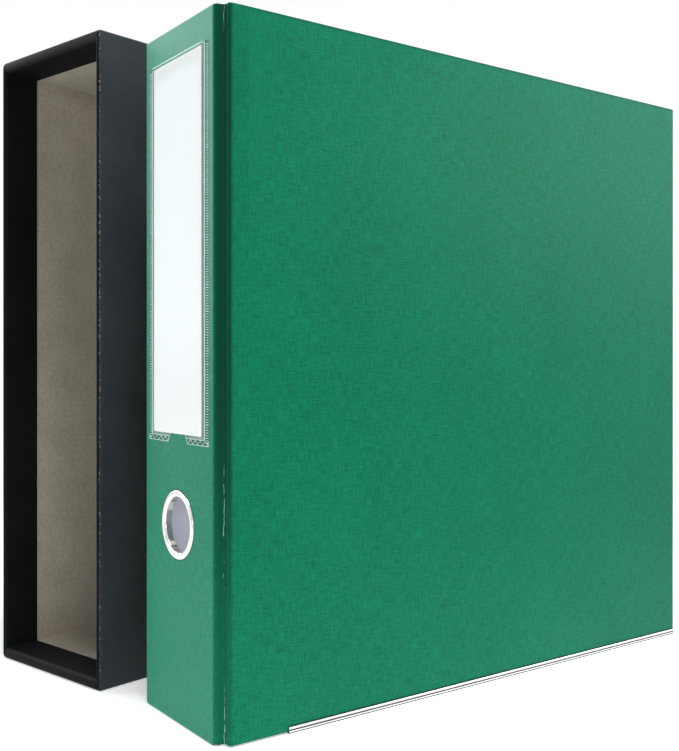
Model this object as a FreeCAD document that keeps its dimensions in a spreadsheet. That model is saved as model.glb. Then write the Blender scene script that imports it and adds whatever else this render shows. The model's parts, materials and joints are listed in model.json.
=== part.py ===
# A ring-bound stamp album in a hard case, with the slipcase that it stands beside.
# The album stands upright: +Z is up, +Y runs from the spine to the fore-edge, and the front cover faces +X.
# The origin is the middle of the spine's foot. Lengths are in millimetres and angles in degrees.
import FreeCAD, Part
import math
import os
import Sketcher

os.makedirs("parts", exist_ok=True)
doc = FreeCAD.newDocument("stamp_album")

# Driving dimensions
SIZES = (
    # The case
    ("case_height", 320, "spine, foot to head"),
    ("case_depth", 310, "outer face of the spine to the fore-edge"),
    ("spine_width", 69, "flat of the spine"),
    ("hinge_rise", 6.5, "spine's edge to the outer face of a cover"),
    ("hinge_run", 5.8, "outer face of the spine to the hinge edge of a cover"),
    ("board", 2.4, "thickness of the three boards"),
    ("covering", 0.4, "thickness of the embossed covering"),
    ("lining", 0.3, "thickness of the paper linings"),
    ("lining_margin", 2.5, "how far the linings stop short of the edges"),
    ("strip_gauge", 0.6, "sheet of the metal edge strips"),
    ("strip_height", 2.9, "height of an edge strip's flanges above the floor"),
    ("strip_start", 34, "outer face of the spine to the start of a strip"),
    ("strip_setback", 0.6, "end of a strip to the fore-edge"),
    ("hinge_clearance", 0.2, "hinge axis outside the line between the two corners it joins"),
    ("groove_web", 0.6, "thickness of the fold in the groove"),
    ("groove_clearance", 0.3, "fold to the edges of the boards beside it"),
    ("groove_turn", 73, "half of the angle that the groove's round takes up"),
    # The finger ring and the label
    ("finger_bore", 25, "bore of the finger ring"),
    ("flange_width", 3.5, "bore to the outer edge of its flange"),
    ("finger_height", 91, "floor to the ring's centre"),
    ("barrel_wall", 0.7, "wall of its barrel"),
    ("flange_proud", 1, "how far the flange stands off the spine"),
    ("flange_round", 0.8, "round on the flange's outer edge"),
    ("bore_round", 0.8, "round on the flange's inner edge"),
    ("washer_width", 2.3, "barrel to the outer edge of the clench washer"),
    ("washer_gauge", 0.8, "thickness of the washer"),
    ("pocket_base", 128.5, "floor to the bottom of the label pocket"),
    ("pocket_head_room", 14.2, "top of the label pocket to the head of the spine"),
    ("pocket_side_room", 3.9, "side of the label pocket to the spine's edge"),
    ("weld_width", 4.3, "width of the welds at its sides"),
    ("weld_base", 4.3, "height of the welds at its foot"),
    ("pocket_film", 0.3, "thickness of the film"),
    ("notch_half", 7.9, "half the width of the thumb notch at its top"),
    ("notch_flare", 2.2, "how much wider each side of the notch is at its foot"),
    ("card_gauge", 0.4, "label card"),
    ("card_play", 0.2, "room in front of the card, and behind it"),
    ("card_side_room", 1.8, "card to the welds at the pocket's sides"),
    ("card_head_room", 1.3, "card to the pocket's mouth"),
    # The ring mechanism on the back cover
    ("ring_depth", 50, "spine's mid-plane to the middle of the rings"),
    ("ring_radius", 22, "middle of a ring to the middle of its wire"),
    ("ring_wire", 3.2, "wire of the rings"),
    ("ring_spacing", 80, "ring to ring"),
    ("ring_end_room", 22, "least distance from a ring to an end of the housing"),
    ("ring_tip_gap", 0.1, "gap where the two halves of a ring meet"),
    ("foot_offset", 9, "middle of the mechanism to a ring's foot"),
    ("foot_bend", 8, "radius of the bend above a ring's foot"),
    ("foot_straight", 0.95, "straight of a ring's foot above the blade's mid-plane"),
    ("housing_end_room", 16, "end of the sprung housing to the end of the case"),
    ("housing_shoulder", 5, "a ring's foot to the outside of the housing"),
    ("housing_height", 8, "lining to the top of the housing"),
    ("housing_gauge", 1, "sheet of the housing"),
    ("slot_room", 1.3, "room round a wire in the housing's slots"),
    ("notch_depth", 8, "cut in the housing's top at each end, for the lever"),
    ("blade_gauge", 1.2, "sheet of the two blades"),
    ("blade_height", 3.6, "lining to a blade's mid-plane"),
    ("blade_inset", 17.5, "end of the housing to the end of a blade"),
    ("blade_clearance", 0.3, "blade to the housing's side, and to the other blade"),
    ("pin_diameter", 2, "lever pins"),
    ("boss_clearance", 1.2, "lining to a lever's boss"),
    ("pin_inset", 3.5, "end of the housing to a pin's axis"),
    ("running_fit", 0.05, "radial clearance of a lever on its pin"),
    ("lever_width", 14, "end levers"),
    ("lever_gauge", 1.6, "end levers"),
    ("lever_length", 18, "pin to the rolled tip"),
    ("lever_boss", 5.2, "diameter of a lever's boss"),
    ("lever_tip", 3.2, "diameter of its rolled tip"),
    ("lever_rake", 62, "rise of a closed lever from the cover"),
    ("rivet_diameter", 3.5, "rivets that hold the housing"),
    ("rivet_head", 7, "diameter of a rivet's head"),
    ("rivet_crown", 1.2, "height of a rivet's head"),
    ("rivet_inset", 12.7, "end of the housing to a rivet"),
    # The leaves
    ("leaf_fore_room", 8.4, "leaf to the fore-edge of the case"),
    ("leaf_end_room", 12, "leaf to the foot and the head of the case"),
    ("leaf_gauge", 0.9, "thickness of a leaf"),
    ("leaf_gap", 0.6, "leaf to leaf on the rings"),
    ("leaf_drop", 9, "middle of the rings down to the lowest leaf"),
    ("leaf_margin", 8, "punched edge to the slots"),
    ("leaf_play", 0.7, "wire to the sides of its slot"),
    ("leaf_swing", 6.2, "length of a slot beyond the wire, for the opening rings"),
    ("leaf_seat", 0.35, "end of a slot to the wire it hangs on"),
    # The slipcase
    ("slip_side_room", 1.9, "album to each side wall"),
    ("slip_head_room", 1.4, "album to the roof"),
    ("slip_back_room", 0.5, "album to the back wall"),
    ("slip_side_board", 2.2, "side boards"),
    ("slip_end_board", 5.4, "floor and roof boards"),
    ("slip_back_board", 2.6, "back board"),
    ("slip_covering", 0.35, "covering and turn-ins"),
    ("slip_turn_in", 20, "how far the covering turns into the mouth"),
    ("slip_gap", 21.9, "back cover's edge strip to the slipcase's near corner"),
    ("slip_lead", 14.3, "slipcase's near corner in front of the spine's mid-plane"),
    ("slip_yaw", 13, "turn of the slipcase from the album"),
)
LEAF_COUNT = 6

sheet = doc.addObject("Spreadsheet::Sheet", "sizes")
for row, (alias, value, note) in enumerate(SIZES, start=1):
    sheet.set(f"A{row}", alias)
    sheet.set(f"B{row}", str(value))
    sheet.setAlias(f"B{row}", alias)
    sheet.set(f"C{row}", note)
doc.recompute()

# Places worked out from the driving dimensions
SPINE_EDGE = "(sizes.spine_width / 2)"
SPINE_FACE = "(-sizes.board / 2 - sizes.covering)"
SPINE_BACK = "(sizes.board / 2)"
SPINE_LINING = f"({SPINE_BACK} + sizes.lining)"
COVER_FACE = f"({SPINE_EDGE} + sizes.hinge_rise)"
COVER_BACK = f"({COVER_FACE} - sizes.covering - sizes.board)"
COVER_LINING = f"({COVER_BACK} - sizes.lining)"
HINGE_EDGE = f"({SPINE_FACE} + sizes.hinge_run)"
FORE_EDGE = f"({SPINE_FACE} + sizes.case_depth)"
MIDDLE = "(sizes.case_height / 2)"
GROOVE_RADIUS = "(min(sizes.hinge_run; sizes.hinge_rise) / 2 - sizes.groove_web - sizes.groove_clearance)"
BARREL = "(sizes.finger_bore / 2 + sizes.barrel_wall)"
POCKET_EDGE = f"({SPINE_EDGE} - sizes.pocket_side_room)"
POCKET_INSIDE = f"({POCKET_EDGE} - sizes.weld_width)"
POCKET_HEIGHT = "(sizes.case_height - sizes.pocket_base - sizes.pocket_head_room)"
POCKET_GAP = "(sizes.card_gauge + 2 * sizes.card_play)"
BED = f"(-{COVER_LINING})"
BLADE_PLANE = f"({BED} + sizes.blade_height)"
FOOT_REACH = "(sizes.ring_radius + sizes.foot_bend)"
FOOT_DROP = f"sqrt({FOOT_REACH} ^ 2 - (sizes.foot_offset + sizes.foot_bend) ^ 2)"
RING_CENTRE = f"({BLADE_PLANE} + sizes.foot_straight + {FOOT_DROP})"
HOUSING_TOP = f"({BED} + sizes.housing_height)"
HOUSING_LENGTH = "(sizes.case_height - 2 * sizes.housing_end_room)"
HOUSING_SIDE = "(sizes.foot_offset + sizes.housing_shoulder)"
HOUSING_INSIDE = f"({HOUSING_SIDE} - sizes.housing_gauge)"
PIN_PLANE = f"({BED} + sizes.lever_boss / 2 + sizes.boss_clearance)"
PIVOT_OFFSET = f"({HOUSING_INSIDE} - sizes.blade_clearance - sizes.blade_gauge / 2)"


def worked(expression):
    """Return the number that an expression on the sheet gives."""
    return float(sheet.evalExpression(expression))


def vector(x, y, z=0.0):
    return FreeCAD.Vector(x, y, z)


nodes = []


def keep(piece, label):
    """Name a finished sub-part and put it on the list of nodes."""
    piece.Label = label
    nodes.append(piece)
    return piece


# Solids that the pieces are made from

def block(label, low, high):
    """A box between two corners, each three expressions."""
    box = doc.addObject("Part::Box", label)
    for size, near, far in zip(("Length", "Width", "Height"), low, high):
        box.setExpression(size, f"({far}) - ({near})")
    for letter, near in zip("xyz", low):
        box.setExpression(f"Placement.Base.{letter}", near)
    return box


def rod(label, axis, start, radius, length):
    """A cylinder from a start point along the X, Y or Z axis."""
    turns = {"X": (vector(0, 1), 90), "Y": (vector(1, 0), -90), "Z": (vector(0, 0, 1), 0)}
    cylinder = doc.addObject("Part::Cylinder", label)
    cylinder.Placement = FreeCAD.Placement(vector(0, 0), FreeCAD.Rotation(*turns[axis]))
    cylinder.setExpression("Radius", radius)
    cylinder.setExpression("Height", length)
    for letter, place in zip("xyz", start):
        cylinder.setExpression(f"Placement.Base.{letter}", place)
    return cylinder


def cut(label, base, tool):
    piece = doc.addObject("Part::Cut", label)
    piece.Base = base
    piece.Tool = tool
    return piece


def fuse(label, pieces):
    piece = doc.addObject("Part::MultiFuse", label)
    piece.Shapes = pieces
    return piece


def group(label, pieces):
    """Separate solids that share one node."""
    piece = doc.addObject("Part::Compound", label)
    piece.Links = pieces
    return piece


# Sketches

def new_sketch(body, label, plane):
    sketch = body.newObject("Sketcher::SketchObject", label)
    support = [feature for feature in body.Origin.OriginFeatures if feature.Role == plane][0]
    sketch.AttachmentSupport = (support, [""])
    sketch.MapMode = "FlatFace"
    return sketch


def place_point(sketch, element, end, x, y):
    """Hold one point of a sketch at two expressions from the sketch's origin."""
    for kind, place in (("DistanceX", x), ("DistanceY", y)):
        index = sketch.addConstraint(Sketcher.Constraint(kind, -1, 1, element, end, worked(place)))
        sketch.setExpression(f"Constraints[{index}]", place)


def draw_outline(sketch, corners):
    """Add a closed outline of straight lines through corners given as expressions."""
    places = [vector(worked(x), worked(y)) for x, y in corners]
    first = sketch.GeometryCount
    count = len(corners)
    for index in range(count):
        sketch.addGeometry(Part.LineSegment(places[index], places[(index + 1) % count]))
    for index in range(count):
        after = first + (index + 1) % count
        sketch.addConstraint(Sketcher.Constraint("Coincident", first + index, 2, after, 1))
    for index, (x, y) in enumerate(corners):
        place_point(sketch, first + index, 1, x, y)


def draw_circle(sketch, x, y, radius):
    centre = vector(worked(x), worked(y))
    element = sketch.addGeometry(Part.Circle(centre, vector(0, 0, 1), worked(radius)))
    index = sketch.addConstraint(Sketcher.Constraint("Radius", element, worked(radius)))
    sketch.setExpression(f"Constraints[{index}]", radius)
    place_point(sketch, element, 3, x, y)


def draw_slot(sketch, left, right, height, radius):
    """Add a round-ended slot between two end centres at one height."""
    ends = (vector(worked(left), worked(height)), vector(worked(right), worked(height)))
    reach = worked(radius)
    up = vector(0, reach)
    quarter = math.pi / 2
    axis = vector(0, 0, 1)
    sketch.addGeometry(Part.ArcOfCircle(Part.Circle(ends[0], axis, reach), quarter, 3 * quarter))
    sketch.addGeometry(Part.LineSegment(ends[0] - up, ends[1] - up))
    sketch.addGeometry(Part.ArcOfCircle(Part.Circle(ends[1], axis, reach), -quarter, quarter))
    sketch.addGeometry(Part.LineSegment(ends[1] + up, ends[0] + up))
    for index in range(4):
        sketch.addConstraint(Sketcher.Constraint("Tangent", index, 2, (index + 1) % 4, 1))
    sketch.addConstraint(Sketcher.Constraint("Equal", 0, 2))
    index = sketch.addConstraint(Sketcher.Constraint("Radius", 0, reach))
    sketch.setExpression(f"Constraints[{index}]", radius)
    place_point(sketch, 0, 3, left, height)
    place_point(sketch, 2, 3, right, height)


def pad(body, sketch, length, midplane=False):
    feature = body.newObject("PartDesign::Pad", f"{sketch.Name}_pad")
    feature.Profile = sketch
    feature.Midplane = midplane
    feature.setExpression("Length", length)
    return feature


def place_body(body, x, y, z):
    for letter, place in zip("xyz", (x, y, z)):
        body.setExpression(f"Placement.Base.{letter}", place)


# The covers: the front one on the +X side, the back one on the -X side
SIDES = {"front": 1, "back": -1}


def across(side, near, far):
    """Low and high X of a piece that lies between two distances from the album's middle plane."""
    if side > 0:
        return near, far
    return f"-({far})", f"-({near})"


def cover_block(name, side, near, far, low, high):
    """A box on one cover, with its Y and Z limits as two pairs."""
    x_low, x_high = across(side, near, far)
    return block(name, (x_low, *low), (x_high, *high))


def edge_strip(name, side):
    """A metal channel pushed over the bottom edge of a cover."""
    body = doc.addObject("PartDesign::Body", name)
    outer = f"({COVER_FACE} + sizes.strip_gauge)"
    inner = f"({COVER_BACK} - sizes.strip_gauge)"
    profile = (
        (outer, "0"), (outer, "sizes.strip_height"),
        (COVER_FACE, "sizes.strip_height"), (COVER_FACE, "sizes.strip_gauge"),
        (COVER_BACK, "sizes.strip_gauge"), (COVER_BACK, "sizes.strip_height"),
        (inner, "sizes.strip_height"), (inner, "0"),
    )
    sketch = new_sketch(body, f"{name}_profile", "XZ_Plane")
    draw_outline(sketch, [(f"{side} * {x}", z) for x, z in profile])
    pad(body, sketch, "sizes.case_depth - sizes.strip_start - sizes.strip_setback")
    place_body(body, "0", f"{FORE_EDGE} - sizes.strip_setback", "0")
    keep(body, name)


def cover_core(name, side):
    """Return the board of a cover as a plain box, and wrap the covering round it."""
    foot = "sizes.strip_gauge"
    core = cover_block(
        f"{name}_core", side, COVER_BACK, f"{COVER_FACE} - sizes.covering",
        (HINGE_EDGE, f"{foot} + sizes.covering"),
        (f"{FORE_EDGE} - sizes.covering", "sizes.case_height - sizes.covering"),
    )
    blank = cover_block(
        f"{name}_covering_blank", side, COVER_BACK, COVER_FACE,
        (HINGE_EDGE, foot), (FORE_EDGE, "sizes.case_height"),
    )
    keep(cut(f"{name}_covering_cut", blank, core), f"{name}_covering")
    return core


def cover_lining(name, side):
    return cover_block(
        f"{name}_lining_sheet", side, COVER_LINING, COVER_BACK,
        (f"{HINGE_EDGE} + sizes.lining_margin", "sizes.strip_height + sizes.lining_margin"),
        (f"{FORE_EDGE} - sizes.lining_margin", "sizes.case_height - sizes.lining_margin"),
    )


keep(cover_core("front", SIDES["front"]), "front_board")
keep(cover_lining("front", SIDES["front"]), "front_lining")
back_core = cover_core("back", SIDES["back"])
back_sheet = cover_lining("back", SIDES["back"])
for cover, cover_side in SIDES.items():
    edge_strip(f"{cover}_edge_strip", cover_side)

# The spine, with the hole that the finger ring is set in
finger_hole = rod(
    "finger_hole", "Y", ("0", f"{SPINE_FACE} - sizes.flange_proud", "sizes.finger_height"),
    BARREL, f"{SPINE_LINING} - {SPINE_FACE} + 2 * sizes.flange_proud",
)
spine_core = block(
    "spine_core",
    (f"-{SPINE_EDGE}", f"-{SPINE_BACK}", "sizes.covering"),
    (SPINE_EDGE, SPINE_BACK, "sizes.case_height - sizes.covering"),
)
spine_blank = block(
    "spine_blank",
    (f"-{SPINE_EDGE}", SPINE_FACE, "0"),
    (SPINE_EDGE, SPINE_BACK, "sizes.case_height"),
)
spine_sheet = block(
    "spine_sheet",
    (f"-{SPINE_EDGE} + sizes.lining_margin", SPINE_BACK, "sizes.lining_margin"),
    (f"{SPINE_EDGE} - sizes.lining_margin", SPINE_LINING, "sizes.case_height - sizes.lining_margin"),
)
spine_tray = cut("spine_tray", spine_blank, spine_core)
washer_start = ("0", f"{SPINE_BACK} - sizes.washer_gauge", "sizes.finger_height")
washer_disc = rod("washer_disc", "Y", washer_start, f"{BARREL} + sizes.washer_width", "sizes.washer_gauge")
spine_board_cutter = fuse("spine_board_cutter", [finger_hole, washer_disc])
keep(cut("spine_board_cut", spine_core, spine_board_cutter), "spine_board")
keep(cut("spine_covering_cut", spine_tray, finger_hole), "spine_covering")
keep(cut("spine_lining_cut", spine_sheet, finger_hole), "spine_lining")


# The hinge folds: covering pressed into a round groove whose centre is the hinge's axis

def hinge_fold(name, side):
    spine_corner = vector(worked(SPINE_EDGE), worked(SPINE_FACE))
    cover_corner = vector(worked(COVER_FACE), worked(HINGE_EDGE))
    thickness = worked("sizes.covering")
    along = (cover_corner - spine_corner).normalize()
    outward = vector(along.y, -along.x)
    axis = (spine_corner + cover_corner) * 0.5 + outward * worked("sizes.hinge_clearance")
    turn = math.radians(worked("sizes.groove_turn"))

    def on_groove(radius, share):
        angle = share * turn
        return axis + (along * math.sin(angle) - outward * math.cos(angle)) * radius

    def arc(radius, start):
        points = [on_groove(radius, share) for share in (start, 0, -start)]
        return Part.Arc(*points).toShape()

    near = worked(GROOVE_RADIUS)
    far = near + worked("sizes.groove_web")
    cover_inner = cover_corner - vector(thickness, 0)
    spine_inner = spine_corner + vector(0, thickness)
    edges = [
        Part.makeLine(spine_corner, on_groove(near, -1)),
        arc(near, -1),
        Part.makeLine(on_groove(near, 1), cover_corner),
        Part.makeLine(cover_corner, cover_inner),
        Part.makeLine(cover_inner, on_groove(far, 1)),
        arc(far, 1),
        Part.makeLine(on_groove(far, -1), spine_inner),
        Part.makeLine(spine_inner, spine_corner),
    ]
    foot = worked("sizes.strip_gauge")
    height = worked("sizes.case_height") - foot
    solid = Part.Face(Part.Wire(edges)).extrude(vector(0, 0, height))
    if side < 0:
        solid = solid.mirror(vector(0, 0), vector(1, 0))
    piece = doc.addObject("Part::Feature", f"{name}_fold")
    piece.Shape = solid
    piece.Placement = FreeCAD.Placement(vector(0, 0, foot), FreeCAD.Rotation())
    keep(piece, name)
    print(f"{name} axis x {side * axis.x:.4f} y {axis.y:.4f}")


for cover, cover_side in SIDES.items():
    hinge_fold(f"{cover}_hinge", cover_side)


# The finger ring: a flanged barrel through the spine, with a washer let into the inside of the board

def circular_edges(shape, radius, height):
    """Names of the full circles of one radius that lie at one height on the local Z axis."""
    names = []
    for number, edge in enumerate(shape.Edges, start=1):
        round_edge = isinstance(edge.Curve, Part.Circle) and abs(edge.Curve.Radius - radius) < 1e-6
        if round_edge and abs(edge.Curve.Center.z - height) < 1e-6:
            names.append(f"Edge{number}")
    return names


# A round takes at most this much of the flange's height, and of half its width
FLANGE_ROUND_LIMIT = "0.8 * min(sizes.flange_proud; sizes.flange_width / 2)"


def round_edges(body, feature, radius_of_edge, height, radius):
    fillet = body.newObject("PartDesign::Fillet", f"{radius}_fillet")
    fillet.Base = (feature, circular_edges(feature.Shape, worked(radius_of_edge), worked(height)))
    fillet.setExpression("Radius", f"min(sizes.{radius}; {FLANGE_ROUND_LIMIT})")
    doc.recompute()
    return fillet


def finger_ring():
    body = doc.addObject("PartDesign::Body", "finger_ring_body")
    bore = "(sizes.finger_bore / 2)"
    flange = f"({bore} + sizes.flange_width)"
    barrel_end = f"-({SPINE_BACK} - {SPINE_FACE})"
    sketch = new_sketch(body, "finger_ring_profile", "XZ_Plane")
    draw_outline(sketch, [
        (bore, barrel_end), (bore, "sizes.flange_proud"), (flange, "sizes.flange_proud"),
        (flange, "0"), (BARREL, "0"), (BARREL, barrel_end),
    ])
    turned = body.newObject("PartDesign::Revolution", "finger_ring_turned")
    turned.Profile = sketch
    turned.ReferenceAxis = (sketch, ["V_Axis"])
    turned.Angle = 360
    doc.recompute()
    rounded = round_edges(body, turned, flange, "sizes.flange_proud", "flange_round")
    round_edges(body, rounded, bore, "sizes.flange_proud", "bore_round")
    body.Placement = FreeCAD.Placement(vector(0, 0), FreeCAD.Rotation(vector(1, 0), 90))
    place_body(body, "0", SPINE_FACE, "sizes.finger_height")
    keep(body, "finger_ring")


finger_ring()
washer_hole = rod("washer_hole", "Y", washer_start, BARREL, "sizes.washer_gauge")
keep(cut("washer_cut", washer_disc, washer_hole), "finger_ring_washer")


# The label pocket, open at the top, and its card

def label_pocket():
    body = doc.addObject("PartDesign::Body", "label_pocket_body")
    weld_top = "sizes.weld_base"
    notch_top = "sizes.notch_half"
    notch_foot = "(sizes.notch_half + sizes.notch_flare)"
    welds = new_sketch(body, "pocket_welds", "XZ_Plane")
    for side in (1, -1):
        corners = (
            (notch_top, weld_top), (notch_foot, "0"), (POCKET_EDGE, "0"),
            (POCKET_EDGE, POCKET_HEIGHT), (POCKET_INSIDE, POCKET_HEIGHT), (POCKET_INSIDE, weld_top),
        )
        draw_outline(welds, [(f"{side} * {x}", z) for x, z in corners])
    pad(body, welds, POCKET_GAP)
    film = new_sketch(body, "pocket_film_outline", "XZ_Plane")
    film.setExpression("AttachmentOffset.Base.z", POCKET_GAP)
    draw_outline(film, [
        (f"-{POCKET_EDGE}", "0"), (f"-{notch_foot}", "0"), (f"-{notch_top}", weld_top),
        (notch_top, weld_top), (notch_foot, "0"), (POCKET_EDGE, "0"),
        (POCKET_EDGE, POCKET_HEIGHT), (f"-{POCKET_EDGE}", POCKET_HEIGHT),
    ])
    pad(body, film, "sizes.pocket_film")
    place_body(body, "0", SPINE_FACE, "sizes.pocket_base")
    keep(body, "label_pocket")


label_pocket()
card_foot = "(sizes.pocket_base + sizes.weld_base)"
card_head = f"(sizes.pocket_base + {POCKET_HEIGHT} - sizes.card_head_room)"
card_back = f"({SPINE_FACE} - sizes.card_play)"
card_side = f"({POCKET_INSIDE} - sizes.card_side_room)"
label_card = block(
    "label_card_sheet",
    (f"-{card_side}", f"{card_back} - sizes.card_gauge", card_foot),
    (card_side, card_back, card_head),
)
keep(label_card, "label_card")

# The ring mechanism on the back cover
END_NAMES = {"lower": -1, "upper": 1}
RING_SIDES = {"fore": 1, "spine": -1}
ring_span = worked(f"{HOUSING_LENGTH} - 2 * sizes.ring_end_room")
RING_COUNT = 1 + int(ring_span / worked("sizes.ring_spacing"))
ring_heights = [
    f"({MIDDLE} + {index - (RING_COUNT - 1) / 2} * sizes.ring_spacing)" for index in range(RING_COUNT)
]


def end_place(end, inset):
    """Z of a place inside one end of the housing."""
    return f"({MIDDLE} + {end} * ({HOUSING_LENGTH} / 2 - {inset}))"


def beside(side, near, far):
    """Low and high Y of a piece between two distances from the middle of the rings."""
    if side > 0:
        return f"(sizes.ring_depth + {near})", f"(sizes.ring_depth + {far})"
    return f"(sizes.ring_depth - {far})", f"(sizes.ring_depth - {near})"


def ring_half_wire(side, height):
    """One half of a ring: a round, an opposite bend, and a straight foot through the blade."""
    centre = vector(worked(RING_CENTRE), worked("sizes.ring_depth"), height)
    radius = worked("sizes.ring_radius")
    bend = worked("sizes.foot_bend")
    offset = worked("sizes.foot_offset")
    drop = worked(FOOT_DROP)
    start = math.asin(worked("sizes.ring_tip_gap") / 2 / radius)
    finish = math.atan2(offset + bend, -drop)

    def on_ring(angle):
        return centre + vector(radius * math.cos(angle), side * radius * math.sin(angle))

    bend_centre = centre + vector(-drop, side * (offset + bend))
    to_ring = (centre - bend_centre).normalize()
    to_foot = vector(0, -side)
    bend_middle = bend_centre + (to_ring + to_foot).normalize() * bend
    foot_top = bend_centre + to_foot * bend
    foot_end = vector(worked(f"{BLADE_PLANE} - sizes.blade_gauge / 2"), foot_top.y, height)
    path = Part.Wire([
        Part.Arc(on_ring(start), on_ring((start + finish) / 2), on_ring(finish)).toShape(),
        Part.Arc(on_ring(finish), bend_middle, foot_top).toShape(),
        Part.makeLine(foot_top, foot_end),
    ])
    heading = vector(-math.sin(start), side * math.cos(start))
    section = Part.Wire(Part.makeCircle(worked("sizes.ring_wire / 2"), on_ring(start), heading))
    return path.makePipeShell([section], True, True)


def ring_rail(name, side):
    """A blade that rocks on its outer edge, with the halves of the rings set in it."""
    halves = doc.addObject("Part::Feature", f"{name}_ring_wires")
    halves.Shape = Part.makeCompound([ring_half_wire(side, worked(height)) for height in ring_heights])
    low, high = beside(side, "sizes.blade_clearance / 2", PIVOT_OFFSET)
    foot = end_place(-1, "sizes.blade_inset")
    sheet_metal = block(
        f"{name}_blade_sheet",
        (f"{BLADE_PLANE} - sizes.blade_gauge / 2", low, foot),
        (f"{BLADE_PLANE} + sizes.blade_gauge / 2", high, end_place(1, "sizes.blade_inset")),
    )
    edge = rod(
        f"{name}_blade_edge", "Z", (BLADE_PLANE, f"sizes.ring_depth + {side} * {PIVOT_OFFSET}", foot),
        "sizes.blade_gauge / 2", f"{HOUSING_LENGTH} - 2 * sizes.blade_inset",
    )
    solid = fuse(f"{name}_blade_solid", [sheet_metal, edge])
    keep(cut(f"{name}_blade_cut", solid, halves), f"{name}_blade")
    keep(halves, f"{name}_ring_halves")


def rivet(end, name):
    """A rivet from the housing's top to the outside of the board, under the covering."""
    place = end_place(end, "sizes.rivet_inset")
    foot = f"(sizes.covering - {COVER_FACE})"
    shank = rod(
        f"{name}_shank", "X", (foot, "sizes.ring_depth", place),
        "sizes.rivet_diameter / 2", f"{HOUSING_TOP} - {foot}",
    )
    head = doc.addObject("Part::Cone", f"{name}_head")
    head.Placement = FreeCAD.Placement(vector(0, 0), FreeCAD.Rotation(vector(0, 1), 90))
    head.setExpression("Radius1", "sizes.rivet_head / 2")
    head.setExpression("Radius2", "sizes.rivet_diameter / 2")
    head.setExpression("Height", "sizes.rivet_crown")
    for letter, where in zip("xyz", (HOUSING_TOP, "sizes.ring_depth", place)):
        head.setExpression(f"Placement.Base.{letter}", where)
    return fuse(f"{name}_solid", [shank, head])


rivets = group("rivet_group", [rivet(end, f"{name}_rivet") for name, end in END_NAMES.items()])
pins = group("pin_group", [
    rod(
        f"{name}_pin", "Y",
        (PIN_PLANE, f"sizes.ring_depth - {HOUSING_SIDE}", end_place(end, "sizes.pin_inset")),
        "sizes.pin_diameter / 2", f"2 * {HOUSING_SIDE}",
    )
    for name, end in END_NAMES.items()
])


def housing():
    """The sprung channel over the blades, cut for the wires and for the levers."""
    foot, head = end_place(-1, "0"), end_place(1, "0")
    under_top = f"({HOUSING_TOP} - sizes.housing_gauge)"
    outer_y = beside(1, f"(-{HOUSING_SIDE})", HOUSING_SIDE)
    inner_y = beside(1, f"(-{HOUSING_INSIDE})", HOUSING_INSIDE)
    shell = block("housing_shell", (BED, outer_y[0], foot), (HOUSING_TOP, outer_y[1], head))
    cutters = [block("housing_room", (BED, inner_y[0], foot), (under_top, inner_y[1], head))]
    for name, end in END_NAMES.items():
        z_low, z_high = sorted(
            (end_place(end, "0"), end_place(end, "sizes.notch_depth")), key=worked,
        )
        cutters.append(block(
            f"{name}_lever_notch", (under_top, inner_y[0], z_low), (HOUSING_TOP, inner_y[1], z_high),
        ))
    rise = "(sizes.housing_height - sizes.blade_height - sizes.foot_straight)"
    slot_middle = f"(sizes.foot_offset + sizes.foot_bend - sqrt(sizes.foot_bend ^ 2 - {rise} ^ 2))"
    half = "(sizes.ring_wire / 2 + sizes.slot_room)"
    for side_name, side in RING_SIDES.items():
        y_low, y_high = beside(side, f"({slot_middle} - {half})", f"({slot_middle} + {half})")
        for index, height in enumerate(ring_heights):
            cutters.append(block(
                f"{side_name}_slot_{index}",
                (under_top, y_low, f"{height} - {half}"), (HOUSING_TOP, y_high, f"{height} + {half}"),
            ))
    cutters.extend([pins, rivets])
    keep(cut("housing_cut", shell, fuse("housing_cutters", cutters)), "ring_housing")


def lever(name, end):
    """A thumb lever: a boss on its pin, a flat tab and a rolled tip."""
    body = doc.addObject("PartDesign::Body", f"{name}_body")
    half_gauge = "sizes.lever_gauge / 2"
    tab = new_sketch(body, f"{name}_tab", "XZ_Plane")
    draw_outline(tab, [
        ("0", f"-{half_gauge}"), ("sizes.lever_length", f"-{half_gauge}"),
        ("sizes.lever_length", half_gauge), ("0", half_gauge),
    ])
    pad(body, tab, "sizes.lever_width", midplane=True)
    for part, x, radius in (("boss", "0", "lever_boss"), ("tip", "sizes.lever_length", "lever_tip")):
        sketch = new_sketch(body, f"{name}_{part}", "XZ_Plane")
        draw_circle(sketch, x, "0", f"sizes.{radius} / 2")
        pad(body, sketch, "sizes.lever_width", midplane=True)
    doc.recompute()
    bore = new_sketch(body, f"{name}_bore", "XZ_Plane")
    draw_circle(bore, "0", "0", "sizes.pin_diameter / 2 + sizes.running_fit")
    pocket = body.newObject("PartDesign::Pocket", f"{name}_bore_cut")
    pocket.Profile = bore
    pocket.Midplane = True
    pocket.setExpression("Length", "2 * sizes.lever_width")
    lean = FreeCAD.Rotation(vector(0, -end), 90 - worked("sizes.lever_rake"))
    body.Placement = FreeCAD.Placement(vector(0, 0), lean)
    body.setExpression("Placement.Rotation.Angle", "(90 - sizes.lever_rake) * 1deg")
    place_body(body, PIN_PLANE, "sizes.ring_depth", end_place(end, "sizes.pin_inset"))
    keep(body, name)


for rail, rail_side in RING_SIDES.items():
    ring_rail(rail, rail_side)
housing()
keep(pins, "lever_pins")
keep(rivets, "housing_rivets")
keep(cut("back_board_cut", back_core, rivets), "back_board")
keep(cut("back_lining_cut", back_sheet, rivets), "back_lining")
for lever_end, end_side in END_NAMES.items():
    lever(f"{lever_end}_lever", end_side)


# The leaves, each hung by its slots on the round of the rings

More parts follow.
